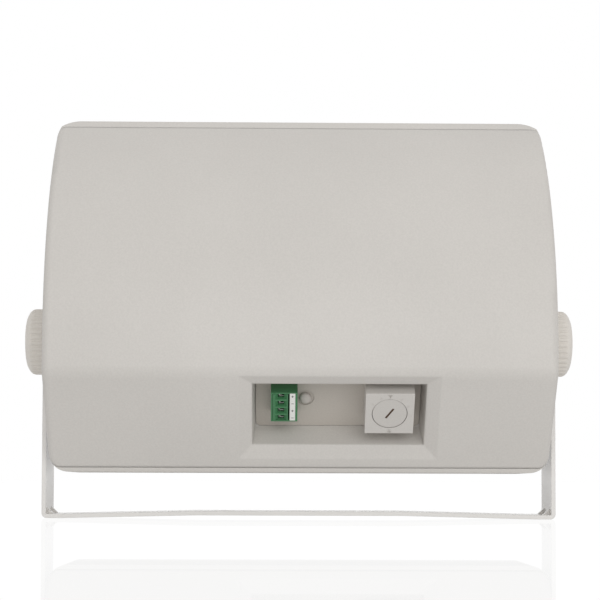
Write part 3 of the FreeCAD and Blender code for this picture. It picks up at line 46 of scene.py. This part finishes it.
# ------------------------------------------------------------------ node helpers
class Net(object):
    """A small wrapper that adds and links shader nodes."""

    def __init__(self, name):
        self.m = bpy.data.materials.new(name)
        self.m.use_nodes = True
        self.t = self.m.node_tree
        self.t.nodes.clear()
        self.out = self.t.nodes.new("ShaderNodeOutputMaterial")
        self.b = self.t.nodes.new("ShaderNodeBsdfPrincipled")
        self.t.links.new(self.b.outputs[0], self.out.inputs[0])
        self.co = self.t.nodes.new("ShaderNodeTexCoord").outputs["Object"]

    def link(self, a, b):
        self.t.links.new(a, b)

    def noise(self, scale, detail=4.0, rough=0.55, dist=0.0, vec=None):
        n = self.t.nodes.new("ShaderNodeTexNoise")
        n.inputs["Scale"].default_value = scale
        n.inputs["Detail"].default_value = detail
        n.inputs["Roughness"].default_value = rough
        n.inputs["Distortion"].default_value = dist
        self.link(vec or self.co, n.inputs["Vector"])
        return n.outputs["Fac"]

    def voronoi(self, scale, feature="F1", vec=None):
        n = self.t.nodes.new("ShaderNodeTexVoronoi")
        n.feature = feature
        n.inputs["Scale"].default_value = scale
        self.link(vec or self.co, n.inputs["Vector"])
        return n.outputs["Distance"]

    def wave(self, scale, axis="X", dist=0.0, vec=None):
        n = self.t.nodes.new("ShaderNodeTexWave")
        n.bands_direction = axis
        n.inputs["Scale"].default_value = scale
        n.inputs["Distortion"].default_value = dist
        self.link(vec or self.co, n.inputs["Vector"])
        return n.outputs["Fac"]

    def ramp(self, fac, stops):
        n = self.t.nodes.new("ShaderNodeValToRGB")
        e = n.color_ramp.elements
        while len(e) < len(stops):
            e.new(0.5)
        for el, (p, col) in zip(e, stops):
            el.position = p
            el.color = (*col, 1.0) if len(col) == 3 else col
        self.link(fac, n.inputs[0])
        return n.outputs["Color"]

    def mrange(self, v, a, b, c, d):
        n = self.t.nodes.new("ShaderNodeMapRange")
        for k, x in zip(("From Min", "From Max", "To Min", "To Max"), (a, b, c, d)):
            n.inputs[k].default_value = x
        self.link(v, n.inputs["Value"])
        return n.outputs["Result"]

    def math(self, op, a, b=None):
        n = self.t.nodes.new("ShaderNodeMath")
        n.operation = op
        for i, x in enumerate((a, b)):
            if x is None:
                continue
            if isinstance(x, (int, float)):
                n.inputs[i].default_value = x
            else:
                self.link(x, n.inputs[i])
        return n.outputs[0]

    def mix(self, fac, a, b, blend="MIX"):
        n = self.t.nodes.new("ShaderNodeMix")
        n.data_type = "RGBA"
        n.blend_type = blend
        if isinstance(fac, (int, float)):
            n.inputs[0].default_value = fac
        else:
            self.link(fac, n.inputs[0])
        for i, x in ((6, a), (7, b)):
            if isinstance(x, tuple):
                n.inputs[i].default_value = (*x, 1.0)
            else:
                self.link(x, n.inputs[i])
        return n.outputs[2]

    def bevel(self, radius, samples=6):
        n = self.t.nodes.new("ShaderNodeBevel")
        n.samples = samples
        n.inputs["Radius"].default_value = radius
        return n.outputs[0]

    def edge(self, radius, samples=6):
        """1 on sharp outer edges, 0 on flat stretches."""
        g = self.t.nodes.new("ShaderNodeNewGeometry")
        bv = self.bevel(radius, samples)
        d = self.t.nodes.new("ShaderNodeVectorMath")
        d.operation = "DOT_PRODUCT"
        self.link(bv, d.inputs[0])
        self.link(g.outputs["Normal"], d.inputs[1])
        return self.mrange(d.outputs["Value"], 0.999, 0.93, 0.0, 1.0)

    def bump(self, height, strength, distance, normal=None):
        n = self.t.nodes.new("ShaderNodeBump")
        n.inputs["Strength"].default_value = strength
        n.inputs["Distance"].default_value = distance
        self.link(height, n.inputs["Height"])
        if normal is not None:
            self.link(normal, n.inputs["Normal"])
        return n.outputs[0]

    def cavity(self, distance, samples=6):
        n = self.t.nodes.new("ShaderNodeAmbientOcclusion")
        n.samples = samples
        n.only_local = False
        n.inputs["Distance"].default_value = distance
        return n.outputs["AO"]


def lin(r, g, b):
    """sRGB 0-255 to linear."""
    f = lambda x: (x / 255.0) / 12.92 if x / 255.0 <= 0.04045 else ((x / 255.0 + 0.055) / 1.055) ** 2.4
    return (f(r), f(g), f(b))


def shade(c, k):
    return tuple(min(1.0, x * k) for x in c)


def plastic(name, col, rough=0.5, grain=0.035, grain_scale=1500.0, edge_r=0.0007, wear_and_edge_highlight=0.06, spec=0.4, var=0.03, painted_cavity_shade=0.05):
    """Moulded engineering plastic: spark-eroded grain, faint flow marks in the tone, edges lightened partly by rubbing
    and partly as a painted highlight, painted shade darkening corners and recesses.
    """
    n = Net(name)
    big = n.noise(9.0, 3.0, 0.5)
    midn = n.noise(60.0, 4.0, 0.6)
    tint = n.ramp(big, [(0.3, shade(col, 1.0 - var)), (0.7, shade(col, 1.0 + var * 0.6))])
    speck = n.ramp(n.noise(grain_scale * 0.8, 2.0, 0.6), [(0.35, (0.94, 0.94, 0.94)), (0.65, (1.03, 1.03, 1.03))])
    c = n.mix(0.6, tint, speck, "MULTIPLY")
    # lighter edges: partly rubbed wear, partly a painted edge highlight
    e = n.edge(edge_r)
    c = n.mix(n.math("MULTIPLY", e, wear_and_edge_highlight), c, shade(col, 1.35))
    # painted shade: base colour darkened towards 0.45 where ambient occlusion finds corners, creases and recesses
    ao = n.cavity(0.004)
    c = n.mix(n.mrange(ao, 0.2, 0.75, painted_cavity_shade, 0.0), c, shade(col, 0.45))
    n.link(c, n.b.inputs["Base Color"])
    r = n.math("ADD", n.mrange(midn, 0.3, 0.7, rough - 0.05, rough + 0.05), n.mrange(n.noise(grain_scale, 2.0), 0.3, 0.7, -0.03, 0.03))
    n.link(r, n.b.inputs["Roughness"])
    n.b.inputs["Specular IOR Level"].default_value = spec
    h = n.math("ADD", n.math("MULTIPLY", n.noise(grain_scale, 3.0, 0.7), 0.7), n.math("MULTIPLY", n.voronoi(grain_scale * 1.3), 0.4))
    n.link(n.bump(h, grain * 4, 0.00008, n.bevel(edge_r)), n.b.inputs["Normal"])
    return n.m


def metal(name, col, rough=0.35, aniso=0.0, streak=(1, 1, 1), wear_and_edge_highlight=0.2, metallic=1.0, edge_r=0.0003):
    """Plated or machined metal with directional streaks, stains and edges lightened partly by rubbing and partly as a
    painted highlight.
    """
    n = Net(name)
    mp = n.t.nodes.new("ShaderNodeMapping")
    mp.inputs["Scale"].default_value = streak
    n.link(n.co, mp.inputs[0])
    st = n.noise(900.0, 3.0, 0.6, 0.0, mp.outputs[0])
    blot = n.noise(90.0, 4.0, 0.6)
    c = n.ramp(blot, [(0.3, shade(col, 0.86)), (0.7, shade(col, 1.06))])
    # lighter edges: partly rubbed plating, partly a painted edge highlight
    c = n.mix(n.math("MULTIPLY", n.edge(edge_r), wear_and_edge_highlight), c, shade(col, 1.3))
    n.link(c, n.b.inputs["Base Color"])
    n.b.inputs["Metallic"].default_value = metallic
    n.link(n.math("ADD", n.mrange(st, 0.3, 0.7, rough - 0.08, rough + 0.08), n.mrange(blot, 0.3, 0.7, -0.05, 0.05)), n.b.inputs["Roughness"])
    n.link(n.bump(st, 0.12, 0.00006, n.bevel(edge_r)), n.b.inputs["Normal"])
    return n.m


def powder(name, col, rough=0.5):
    """Powder-coated steel: orange peel, slight gloss change, thin rubbed edges."""
    n = Net(name)
    big = n.noise(14.0, 3.0, 0.5)
    c = n.ramp(big, [(0.3, shade(col, 0.975)), (0.7, shade(col, 1.015))])
    c = n.mix(n.mrange(n.noise(1400.0, 2.0), 0.35, 0.75, 0.0, 0.08), c, shade(col, 0.8))
    e = n.edge(0.0008)
    c = n.mix(n.math("MULTIPLY", e, n.mrange(n.noise(160.0, 4.0), 0.45, 0.7, 0.0, 0.25)), c, shade(col, 0.7))
    n.link(c, n.b.inputs["Base Color"])
    n.link(n.mrange(n.noise(220.0, 3.0), 0.3, 0.7, rough - 0.06, rough + 0.06), n.b.inputs["Roughness"])
    n.b.inputs["Specular IOR Level"].default_value = 0.45
    h = n.math("ADD", n.noise(520.0, 2.0, 0.5), n.math("MULTIPLY", n.noise(1900.0, 2.0), 0.3))
    n.link(n.bump(h, 0.22, 0.00012, n.bevel(0.0006)), n.b.inputs["Normal"])
    return n.m


def cloth(name, col, scale=900.0, rough=0.95):
    """Woven cloth: crossed yarns with painted shade in the gaps and a painted highlight where the yarns cross."""
    n = Net(name)
    a = n.wave(scale, "X", 0.4)
    b = n.wave(scale, "Z", 0.4)
    w = n.math("MULTIPLY", a, b)
    # painted shade in the gaps between yarns, painted highlight where the yarns cross
    c = n.ramp(w, [(0.0, shade(col, 0.35)), (0.5, col), (1.0, shade(col, 1.5))])
    n.link(c, n.b.inputs["Base Color"])
    n.link(n.mrange(n.noise(300.0), 0.3, 0.7, rough - 0.08, min(1.0, rough + 0.04)), n.b.inputs["Roughness"])
    n.b.inputs["Sheen Weight"].default_value = 0.15
    n.link(n.bump(w, 0.5, 0.0002), n.b.inputs["Normal"])
    return n.m


def wound(name, col, axis="Y", scale=700.0):
    """Layers of enamelled wire lying side by side, with painted shade between the turns and a painted highlight along
    each turn.
    """
    n = Net(name)
    w = n.wave(scale, axis, 0.25)
    # painted shade in the grooves between turns, painted highlight on each turn's crown
    c = n.ramp(w, [(0.0, shade(col, 0.25)), (0.45, col), (1.0, shade(col, 1.25))])
    c = n.mix(n.mrange(n.noise(120.0), 0.4, 0.7, 0.0, 0.35), c, shade(col, 0.55))
    n.link(c, n.b.inputs["Base Color"])
    n.b.inputs["Metallic"].default_value = 0.55
    n.link(n.mrange(n.noise(400.0), 0.3, 0.7, 0.28, 0.42), n.b.inputs["Roughness"])
    n.link(n.bump(w, 0.6, 0.0003), n.b.inputs["Normal"])
    return n.m


def fibrous(name, col, scale=500.0, rough=0.95, strength=0.6):
    """Pressed pulp or loose wadding: tangled fibres."""
    n = Net(name)
    f = n.noise(scale, 8.0, 0.75, 1.6)
    v = n.voronoi(scale * 0.7, "DISTANCE_TO_EDGE")
    c = n.ramp(f, [(0.25, shade(col, 0.65)), (0.6, col), (0.85, shade(col, 1.35))])
    n.link(c, n.b.inputs["Base Color"])
    n.b.inputs["Roughness"].default_value = rough
    n.link(n.bump(n.math("ADD", f, n.math("MULTIPLY", v, 0.5)), strength, 0.0006), n.b.inputs["Normal"])
    return n.m


ABS = lin(205, 201, 195.5)
M = {}
# in these calls the occlusion-darkening argument sets painted shade, and the edge-lightening argument sets rubbed wear
# plus a painted edge highlight
M["abs"] = plastic("abs_shell", shade(ABS, 1.0), rough=0.49, grain=0.05, grain_scale=1150.0, edge_r=0.0019, wear_and_edge_highlight=0.12, spec=0.48, painted_cavity_shade=0.02)
# front housing: the shell's plastic made 7 % lighter, painted light for its brightly lit lips
M["front"] = plastic("abs_front_painted_lighter", shade(ABS, 1.07), rough=0.56, grain=0.05, grain_scale=1150.0, edge_r=0.0006, wear_and_edge_highlight=0.05, spec=0.35)
M["panel"] = plastic("abs_panel", shade(lin(207, 200, 191), 0.83), rough=0.62, grain=0.03, grain_scale=1600.0, edge_r=0.0004, wear_and_edge_highlight=0.05, spec=0.3)
# knobs: the shell's plastic made about 20 % lighter, painted light
M["knob"] = plastic("abs_knob", shade(lin(206, 201, 194), 1.2), rough=0.5, grain=0.04, grain_scale=1300.0, edge_r=0.0004, wear_and_edge_highlight=0.25, spec=0.4, painted_cavity_shade=0.12)
M["sel"] = plastic("selector_plastic", shade(ABS, 0.96), rough=0.5, grain=0.02, grain_scale=2200.0, edge_r=0.00035, wear_and_edge_highlight=0.5, spec=0.4)
M["dial"] = plastic("dial_plastic", shade(ABS, 0.93), rough=0.55, grain=0.03, grain_scale=2200.0, edge_r=0.0003, wear_and_edge_highlight=0.2, spec=0.35, painted_cavity_shade=0.3)
M["dark"] = plastic("dark_plastic", (0.03, 0.03, 0.032), rough=0.55, grain=0.04, edge_r=0.0003, wear_and_edge_highlight=0.1)
M["green"] = plastic("terminal_polyamide", lin(60, 118, 76), rough=0.42, grain=0.03, grain_scale=2600.0, edge_r=0.00022, wear_and_edge_highlight=0.55, spec=0.5, var=0.06, painted_cavity_shade=0.35)
M["seal"] = plastic("seal_rubber", lin(196, 190, 184), rough=0.6, grain=0.02, grain_scale=3000.0, edge_r=0.0003, wear_and_edge_highlight=0.05)
M["pad"] = plastic("pad_rubber", (0.05, 0.05, 0.052), rough=0.8, grain=0.08, grain_scale=900.0, edge_r=0.0003, wear_and_edge_highlight=0.05, spec=0.25)
M["label"] = plastic("label_print", lin(226, 226, 222), rough=0.5, grain=0.01, grain_scale=3000.0, edge_r=0.00008, wear_and_edge_highlight=0.0, painted_cavity_shade=0.1)
M["tin"] = metal("tinned", (0.78, 0.77, 0.74), rough=0.3)
M["zinc"] = metal("zinc", (0.62, 0.63, 0.63), rough=0.38, streak=(1, 1, 6))
M["brass"] = metal("turned_brass", (0.72, 0.52, 0.22), rough=0.3, streak=(8, 1, 1))
M["core"] = metal("laminations", (0.18, 0.18, 0.19), rough=0.5, streak=(1, 40, 1), wear_and_edge_highlight=0.1)
M["powder"] = powder("bracket_powder", lin(222, 219, 215), 0.45)
for _n in M["powder"].node_tree.nodes:
    if _n.type == "BSDF_PRINCIPLED":
        _n.inputs["Coat Weight"].default_value = 0.7
        _n.inputs["Coat Roughness"].default_value = 0.16
M["grille"] = powder("grille_powder", lin(212, 210, 206), 0.5)
M["black"] = powder("frame_black", (0.018, 0.018, 0.019), 0.5)
M["cloth"] = cloth("grille_cloth_weave", (0.012, 0.012, 0.013))
M["spider"] = cloth("spider_weave", (0.38, 0.24, 0.09), 700.0, 0.85)
M["cone"] = fibrous("cone_pulp", (0.02, 0.02, 0.021), 650.0, 0.8, 0.4)
M["wad"] = fibrous("wadding_fibre", (0.72, 0.72, 0.70), 260.0, 0.98, 0.9)
M["roll"] = plastic("surround_rubber", (0.012, 0.012, 0.012), rough=0.6, grain=0.03, grain_scale=900.0, wear_and_edge_highlight=0.0)
M["copper"] = wound("copper_turns", (0.55, 0.21, 0.08), "Z", 900.0)
M["coil"] = wound("coil_turns", (0.60, 0.24, 0.10), "Y", 900.0)
M["ferrite"] = fibrous("ferrite_ground", (0.028, 0.028, 0.030), 1400.0, 0.6, 0.15)
M["board"] = plastic("solder_mask", (0.02, 0.10, 0.035), rough=0.25, grain=0.02, grain_scale=800.0, wear_and_edge_highlight=0.1, spec=0.5)
M["film"] = plastic("dipped_film", (0.42, 0.03, 0.02), rough=0.2, grain=0.03, grain_scale=500.0, wear_and_edge_highlight=0.1, spec=0.6)
M["pvc"] = plastic("lead_pvc", (0.02, 0.02, 0.022), rough=0.4, grain=0.02, wear_and_edge_highlight=0.05, spec=0.45)

USE = {
    "bracket": "powder", "rear_shell": "abs", "front_housing": "front", "left_insert": "brass", "right_insert": "brass",
    "left_pad": "pad", "right_pad": "pad", "left_washer": "zinc", "right_washer": "zinc", "left_knob": "knob", "right_knob": "knob",
    "terminal_panel": "panel", "terminal_header": "green", "header_pins": "tin", "polarity_label": "label", "terminal_plug": "green",
    "selector_housing": "sel", "selector_dial": "dial", "switch_shaft": "dark", "switch_body": "dark", "seal_plug": "seal",
    "panel_screws": "zinc", "cabinet_screws": "zinc", "grille": "grille", "grille_cloth": "cloth", "woofer_frame": "black",
    "woofer_surround": "roll", "woofer_cone": "cone", "woofer_dust_cap": "cone", "woofer_voice_coil": "copper", "woofer_spider": "spider",
    "woofer_top_plate": "zinc", "woofer_magnet": "ferrite", "woofer_back_plate": "zinc", "woofer_screws": "zinc",
    "tweeter_plate": "black", "tweeter_dome": "cloth", "tweeter_magnet": "ferrite", "tweeter_yoke": "zinc", "tweeter_top_plate": "zinc",
    "tweeter_screws": "zinc", "transformer_core": "core", "transformer_winding": "copper", "transformer_frame": "zinc",
    "crossover_board": "board", "inner_screws": "zinc", "crossover_capacitor": "film", "crossover_inductor": "coil",
    "damping_pad": "wad", "input_leads": "pvc", "crossover_leads": "pvc",
}
for k in range(1, 5):
    USE["clamp_cage_%d" % k] = "tin"
    USE["clamp_screw_%d" % k] = "tin"
for name, key in USE.items():
    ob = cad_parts[name]
    for s in ob.material_slots:
        s.material = M[key]
    if not ob.material_slots:
        ob.data.materials.append(M[key])


# ------------------------------------------------------------------ mesh helpers
def piece(name, verts, faces, mat, body, matrix=None, smooth=False):
    me = bpy.data.meshes.new(name)
    me.from_pydata([tuple(matrix @ Vector(v)) if matrix else tuple(v) for v in verts], [], faces)
    me.validate()
    bm = bmesh.new()
    bm.from_mesh(me)
    bmesh.ops.remove_doubles(bm, verts=bm.verts, dist=1e-6)
    bmesh.ops.recalc_face_normals(bm, faces=bm.faces)
    bm.to_mesh(me)
    bm.free()
    me.materials.append(mat)
    if smooth:
        for p in me.polygons:
            p.use_smooth = True
    ob = bpy.data.objects.new(name, me)
    bpy.context.scene.collection.objects.link(ob)
    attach(ob, body)
    return ob


# ------------------------------------------------------------------ perforated grille, in cabinet coordinates
def grille():
    """Pan pressed from perforated sheet: staggered round holes, plain border, rolled edge."""
    p, q = 0.0052, 0.0045
    nx, nz = 48, 39
    cz = (0.125 - 0.0672) / 2
    w, h = nx * p, nz * q
    x0, z0 = -w / 2, cz - h / 2
    yf, t = -0.0574, 0.0009
    V, F = [], []

    def add(v):
        V.append(v)
        return len(V) - 1

    ring_t = [(-0.5, -0.5), (0.0, -0.5), (0.5, -0.5), (0.5, 0.0), (0.5, 0.5), (0.0, 0.5), (-0.5, 0.5), (-0.5, 0.0)]
    r = 0.00165
    for j in range(nz):
        odd = j % 2
        zc = z0 + (j + 0.5) * q
        for i in range(nx - odd):
            xc = x0 + (i + 0.5 + 0.5 * odd) * p
            o = [add((xc + a * p, yf, zc + b * q)) for a, b in ring_t]
            hole = [add((xc + r * math.cos(a), yf, zc + r * math.sin(a))) for a in
                    [math.atan2(b * q, a_ * p) for a_, b in ring_t]]
            back = [add((V[v][0], yf + t, V[v][2])) for v in hole]
            for k in range(8):
                k2 = (k + 1) % 8
                F.append((o[k], o[k2], hole[k2], hole[k]))
                F.append((hole[k], hole[k2], back[k2], back[k]))
        if odd:
            for xs in (x0, x0 + w - p / 2):
                a = add((xs, yf, zc - q / 2))
                b = add((xs + p / 2, yf, zc - q / 2))
                c_ = add((xs + p / 2, yf, zc))
                d = add((xs + p / 2, yf, zc + q / 2))
                e = add((xs, yf, zc + q / 2))
                F.append((a, b, c_, d, e))
    # border rings: from the punched field out to the edge, round it and back along the side
    hx, z_lo, z_hi = 0.134, -0.0672, 0.125

    def loop(inset, y, rc):
        pts = []
        X, Zl, Zh = hx - inset, z_lo + inset, z_hi - inset
        for sx, sz, a0 in ((1, 1, 0), (-1, 1, 90), (-1, -1, 180), (1, -1, 270)):
            zc_ = (Zh - rc) if sz > 0 else (Zl + rc)
            for k in range(7):
                a = math.radians(a0 + 15 * k)
                pts.append((sx * (X - rc) + rc * math.cos(a), y, zc_ + rc * math.sin(a)))
        return [add(v) for v in pts]

    field = []
    for sx, sz in ((1, 1), (-1, 1), (-1, -1), (1, -1)):
        for k in range(7):
            field.append(add((sx * w / 2, yf, cz + sz * h / 2)))
    rings = [loop(0.0015, yf, 0.004), loop(0.0007, yf + 0.0003, 0.0046), loop(0.0002, yf + 0.0009, 0.005), loop(0.0, yf + 0.0018, 0.0055),
             loop(0.0, -0.0504, 0.0055), loop(0.0009, -0.0504, 0.0046), loop(0.0009, yf + t + 0.0006, 0.0046)]
    prev = field
    for rg in rings:
        n = len(rg)
        for k in range(n):
            F.append((prev[k], prev[(k + 1) % n], rg[(k + 1) % n], rg[k]))
        prev = rg
    ob = piece("perforated_grille", V, F, M["grille"], "cabinet", CAB)
    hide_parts("grille")
    return ob


grille()


# ------------------------------------------------------------------ small printed and moulded marks
def flat_poly(name, pts, n, mat, body, thick=0.00004):
    """A thin raised shape on the sloping lower face; pts as (x, up) in metres."""
    k = len(pts)
    v = [(x, -u, n) for x, u in pts] + [(x, -u, n + thick) for x, u in pts]
    f = [tuple(range(k - 1, -1, -1)), tuple(range(k, 2 * k))] + [(i, (i + 1) % k, k + (i + 1) % k, k + i) for i in range(k)]
    return piece(name, v, f, mat, body, FACE)


INK = plastic("ink", (0.02, 0.02, 0.02), rough=0.7, grain=0.01, wear_and_edge_highlight=0.0, edge_r=0.00005)
lab_x = (9.2 - 7.75 + 2.9) / 1000
for i in range(4):
    up = (38.05 + (i - 1.5) * 5.08) / 1000
    n0 = -0.0085
    a, b = 0.00075, 0.00016
    if i % 2 == 1:
        pts = [(lab_x - a, up - b), (lab_x - b, up - b), (lab_x - b, up - a), (lab_x + b, up - a), (lab_x + b, up - b), (lab_x + a, up - b),
               (lab_x + a, up + b), (lab_x + b, up + b), (lab_x + b, up + a), (lab_x - b, up + a), (lab_x - b, up + b), (lab_x - a, up + b)]
    else:
        pts = [(lab_x - a, up - b), (lab_x + a, up - b), (lab_x + a, up + b), (lab_x - a, up + b)]
    flat_poly("label_mark_%d" % i, pts, n0, INK, "cabinet", 0.00002)

# raised position marks round the dial
for k in range(6):
    ang = math.radians(-90 + 30 * k + 34 + 0)
    cx, cu = -0.052, 0.03875
    r0, r1, hw = 0.0112, 0.0126, 0.00022
    d = (-math.sin(ang), math.cos(ang))
    t_ = (d[1], -d[0])
    pts = [(cx + d[0] * r0 + t_[0] * hw, cu + d[1] * r0 + t_[1] * hw), (cx + d[0] * r1 + t_[0] * hw, cu + d[1] * r1 + t_[1] * hw),
           (cx + d[0] * r1 - t_[0] * hw, cu + d[1] * r1 - t_[1] * hw), (cx + d[0] * r0 - t_[0] * hw, cu + d[1] * r0 - t_[1] * hw)]
    if abs(d[0]) > 0.35:
        flat_poly("selector_tick_%d" % k, pts, -0.0015, M["sel"], "cabinet", 0.00018)

# a dark brown sheet laid in the bottom of the dial's slot: painted shadow
sl = 0.0038
sd, sp = (0.559, -0.829), (0.829, 0.559)
flat_poly("dial_slot_painted_shadow", [(-0.052 + sd[0] * a * sl + sp[0] * b * 0.00055, 0.03875 + sd[1] * a * sl + sp[1] * b * 0.00055)
                              for a, b in ((-1, -1), (1, -1), (1, 1), (-1, 1))], -0.00318,
          plastic("painted_slot_shadow", (0.085, 0.05, 0.03), rough=0.9, grain=0.02, wear_and_edge_highlight=0.0, edge_r=0.00005), "dial", 0.0012)

# ------------------------------------------------------------------ stage
def stage_floor():
    me = bpy.data.meshes.new("floor")
    s = 6.0
    me.from_pydata([(-s, -s, -0.0018), (s, -s, -0.0018), (s, s, -0.0018), (-s, s, -0.0018)], [], [(0, 1, 2, 3)])
    ob = bpy.data.objects.new("floor", me)
    bpy.context.scene.collection.objects.link(ob)
    m = bpy.data.materials.new("pale_floor")
    m.use_nodes = True
    t = m.node_tree
    t.nodes.clear()
    out = t.nodes.new("ShaderNodeOutputMaterial")
    em = t.nodes.new("ShaderNodeEmission")
    lp = t.nodes.new("ShaderNodeLightPath")
    mr = t.nodes.new("ShaderNodeMapRange")
    mr.inputs["To Min"].default_value = 0.76
    mr.inputs["To Max"].default_value = 1.055
    t.links.new(lp.outputs["Is Camera Ray"], mr.inputs["Value"])
    t.links.new(mr.outputs[0], em.inputs["Strength"])
    em.inputs["Color"].default_value = (1, 1, 1, 1)
    gl = t.nodes.new("ShaderNodeBsdfGlossy")
    gl.inputs["Roughness"].default_value = 0.012
    mx = t.nodes.new("ShaderNodeMixShader")
    mx.inputs[0].default_value = 0.19
    t.links.new(em.outputs[0], mx.inputs[1])
    t.links.new(gl.outputs[0], mx.inputs[2])
    t.links.new(mx.outputs[0], out.inputs[0])
    me.materials.append(m)


stage_floor()

sc = bpy.context.scene
w = bpy.data.worlds.new("studio")
sc.world = w
w.use_nodes = True
wt = w.node_tree
bg = wt.nodes["Background"]
bg.inputs[0].default_value = (1, 1, 1, 1)
lp = wt.nodes.new("ShaderNodeLightPath")
mr = wt.nodes.new("ShaderNodeMapRange")
mr.inputs["To Min"].default_value = 0.56
mr.inputs["To Max"].default_value = 1.0
seen = wt.nodes.new("ShaderNodeMath")
seen.operation = "MAXIMUM"
wt.links.new(lp.outputs["Is Camera Ray"], seen.inputs[0])
wt.links.new(lp.outputs["Is Glossy Ray"], seen.inputs[1])
wt.links.new(seen.outputs[0], mr.inputs["Value"])
wt.links.new(mr.outputs[0], bg.inputs[1])


def area(name, loc, target, size, power, col=(1, 1, 1)):
    li = bpy.data.lights.new(name, "AREA")
    li.shape = "RECTANGLE"
    li.size, li.size_y = size
    li.energy = power
    li.color = col
    ob = bpy.data.objects.new(name, li)
    sc.collection.objects.link(ob)
    ob.location = loc
    d = Vector(target) - Vector(loc)
    ob.rotation_mode = "QUATERNION"
    ob.rotation_quaternion = d.to_track_quat("-Z", "Y")
    return ob


area("soft_back", (-0.3, 1.5, 0.46), (0, 0, 0.11), (1.5, 0.8), 7.6)
area("soft_top", (0.0, 0.5, 1.5), (0, 0, 0.12), (1.6, 1.2), 3.3)

sc.view_settings.view_transform = "Standard"
sc.view_settings.look = "None"
sc.view_settings.exposure = 0.0
sc.view_settings.gamma = 1.0

# ------------------------------------------------------------------ camera
YAW, PITCH, ROLL = 0.0151445, 0.0464490, 0.0032547
cam = bpy.data.cameras.new("camera")
cam.sensor_width = 36.0
cam.lens = 1857.926 / 600.0 * 36.0
cam.shift_y = 0.15
cam.clip_start, cam.clip_end = 0.01, 50.0
co = bpy.data.objects.new("camera", cam)
sc.collection.objects.link(co)
cy, sy = math.cos(YAW), math.sin(YAW)
cp, sp = math.cos(PITCH), math.sin(PITCH)
fwd = Vector((-sy * cp, -cy * cp, sp))
right = Vector((-cy, sy, 0.0))
up = right.cross(fwd)
cr, sr = math.cos(ROLL), math.sin(ROLL)
r2 = right * cr + up * sr
u2 = up * cr - right * sr
rot = Matrix((r2, u2, -fwd)).transposed().to_4x4()
co.matrix_world = Matrix.Translation((0.016401, 1.124290, 0.023282)) @ rot
sc.camera = co
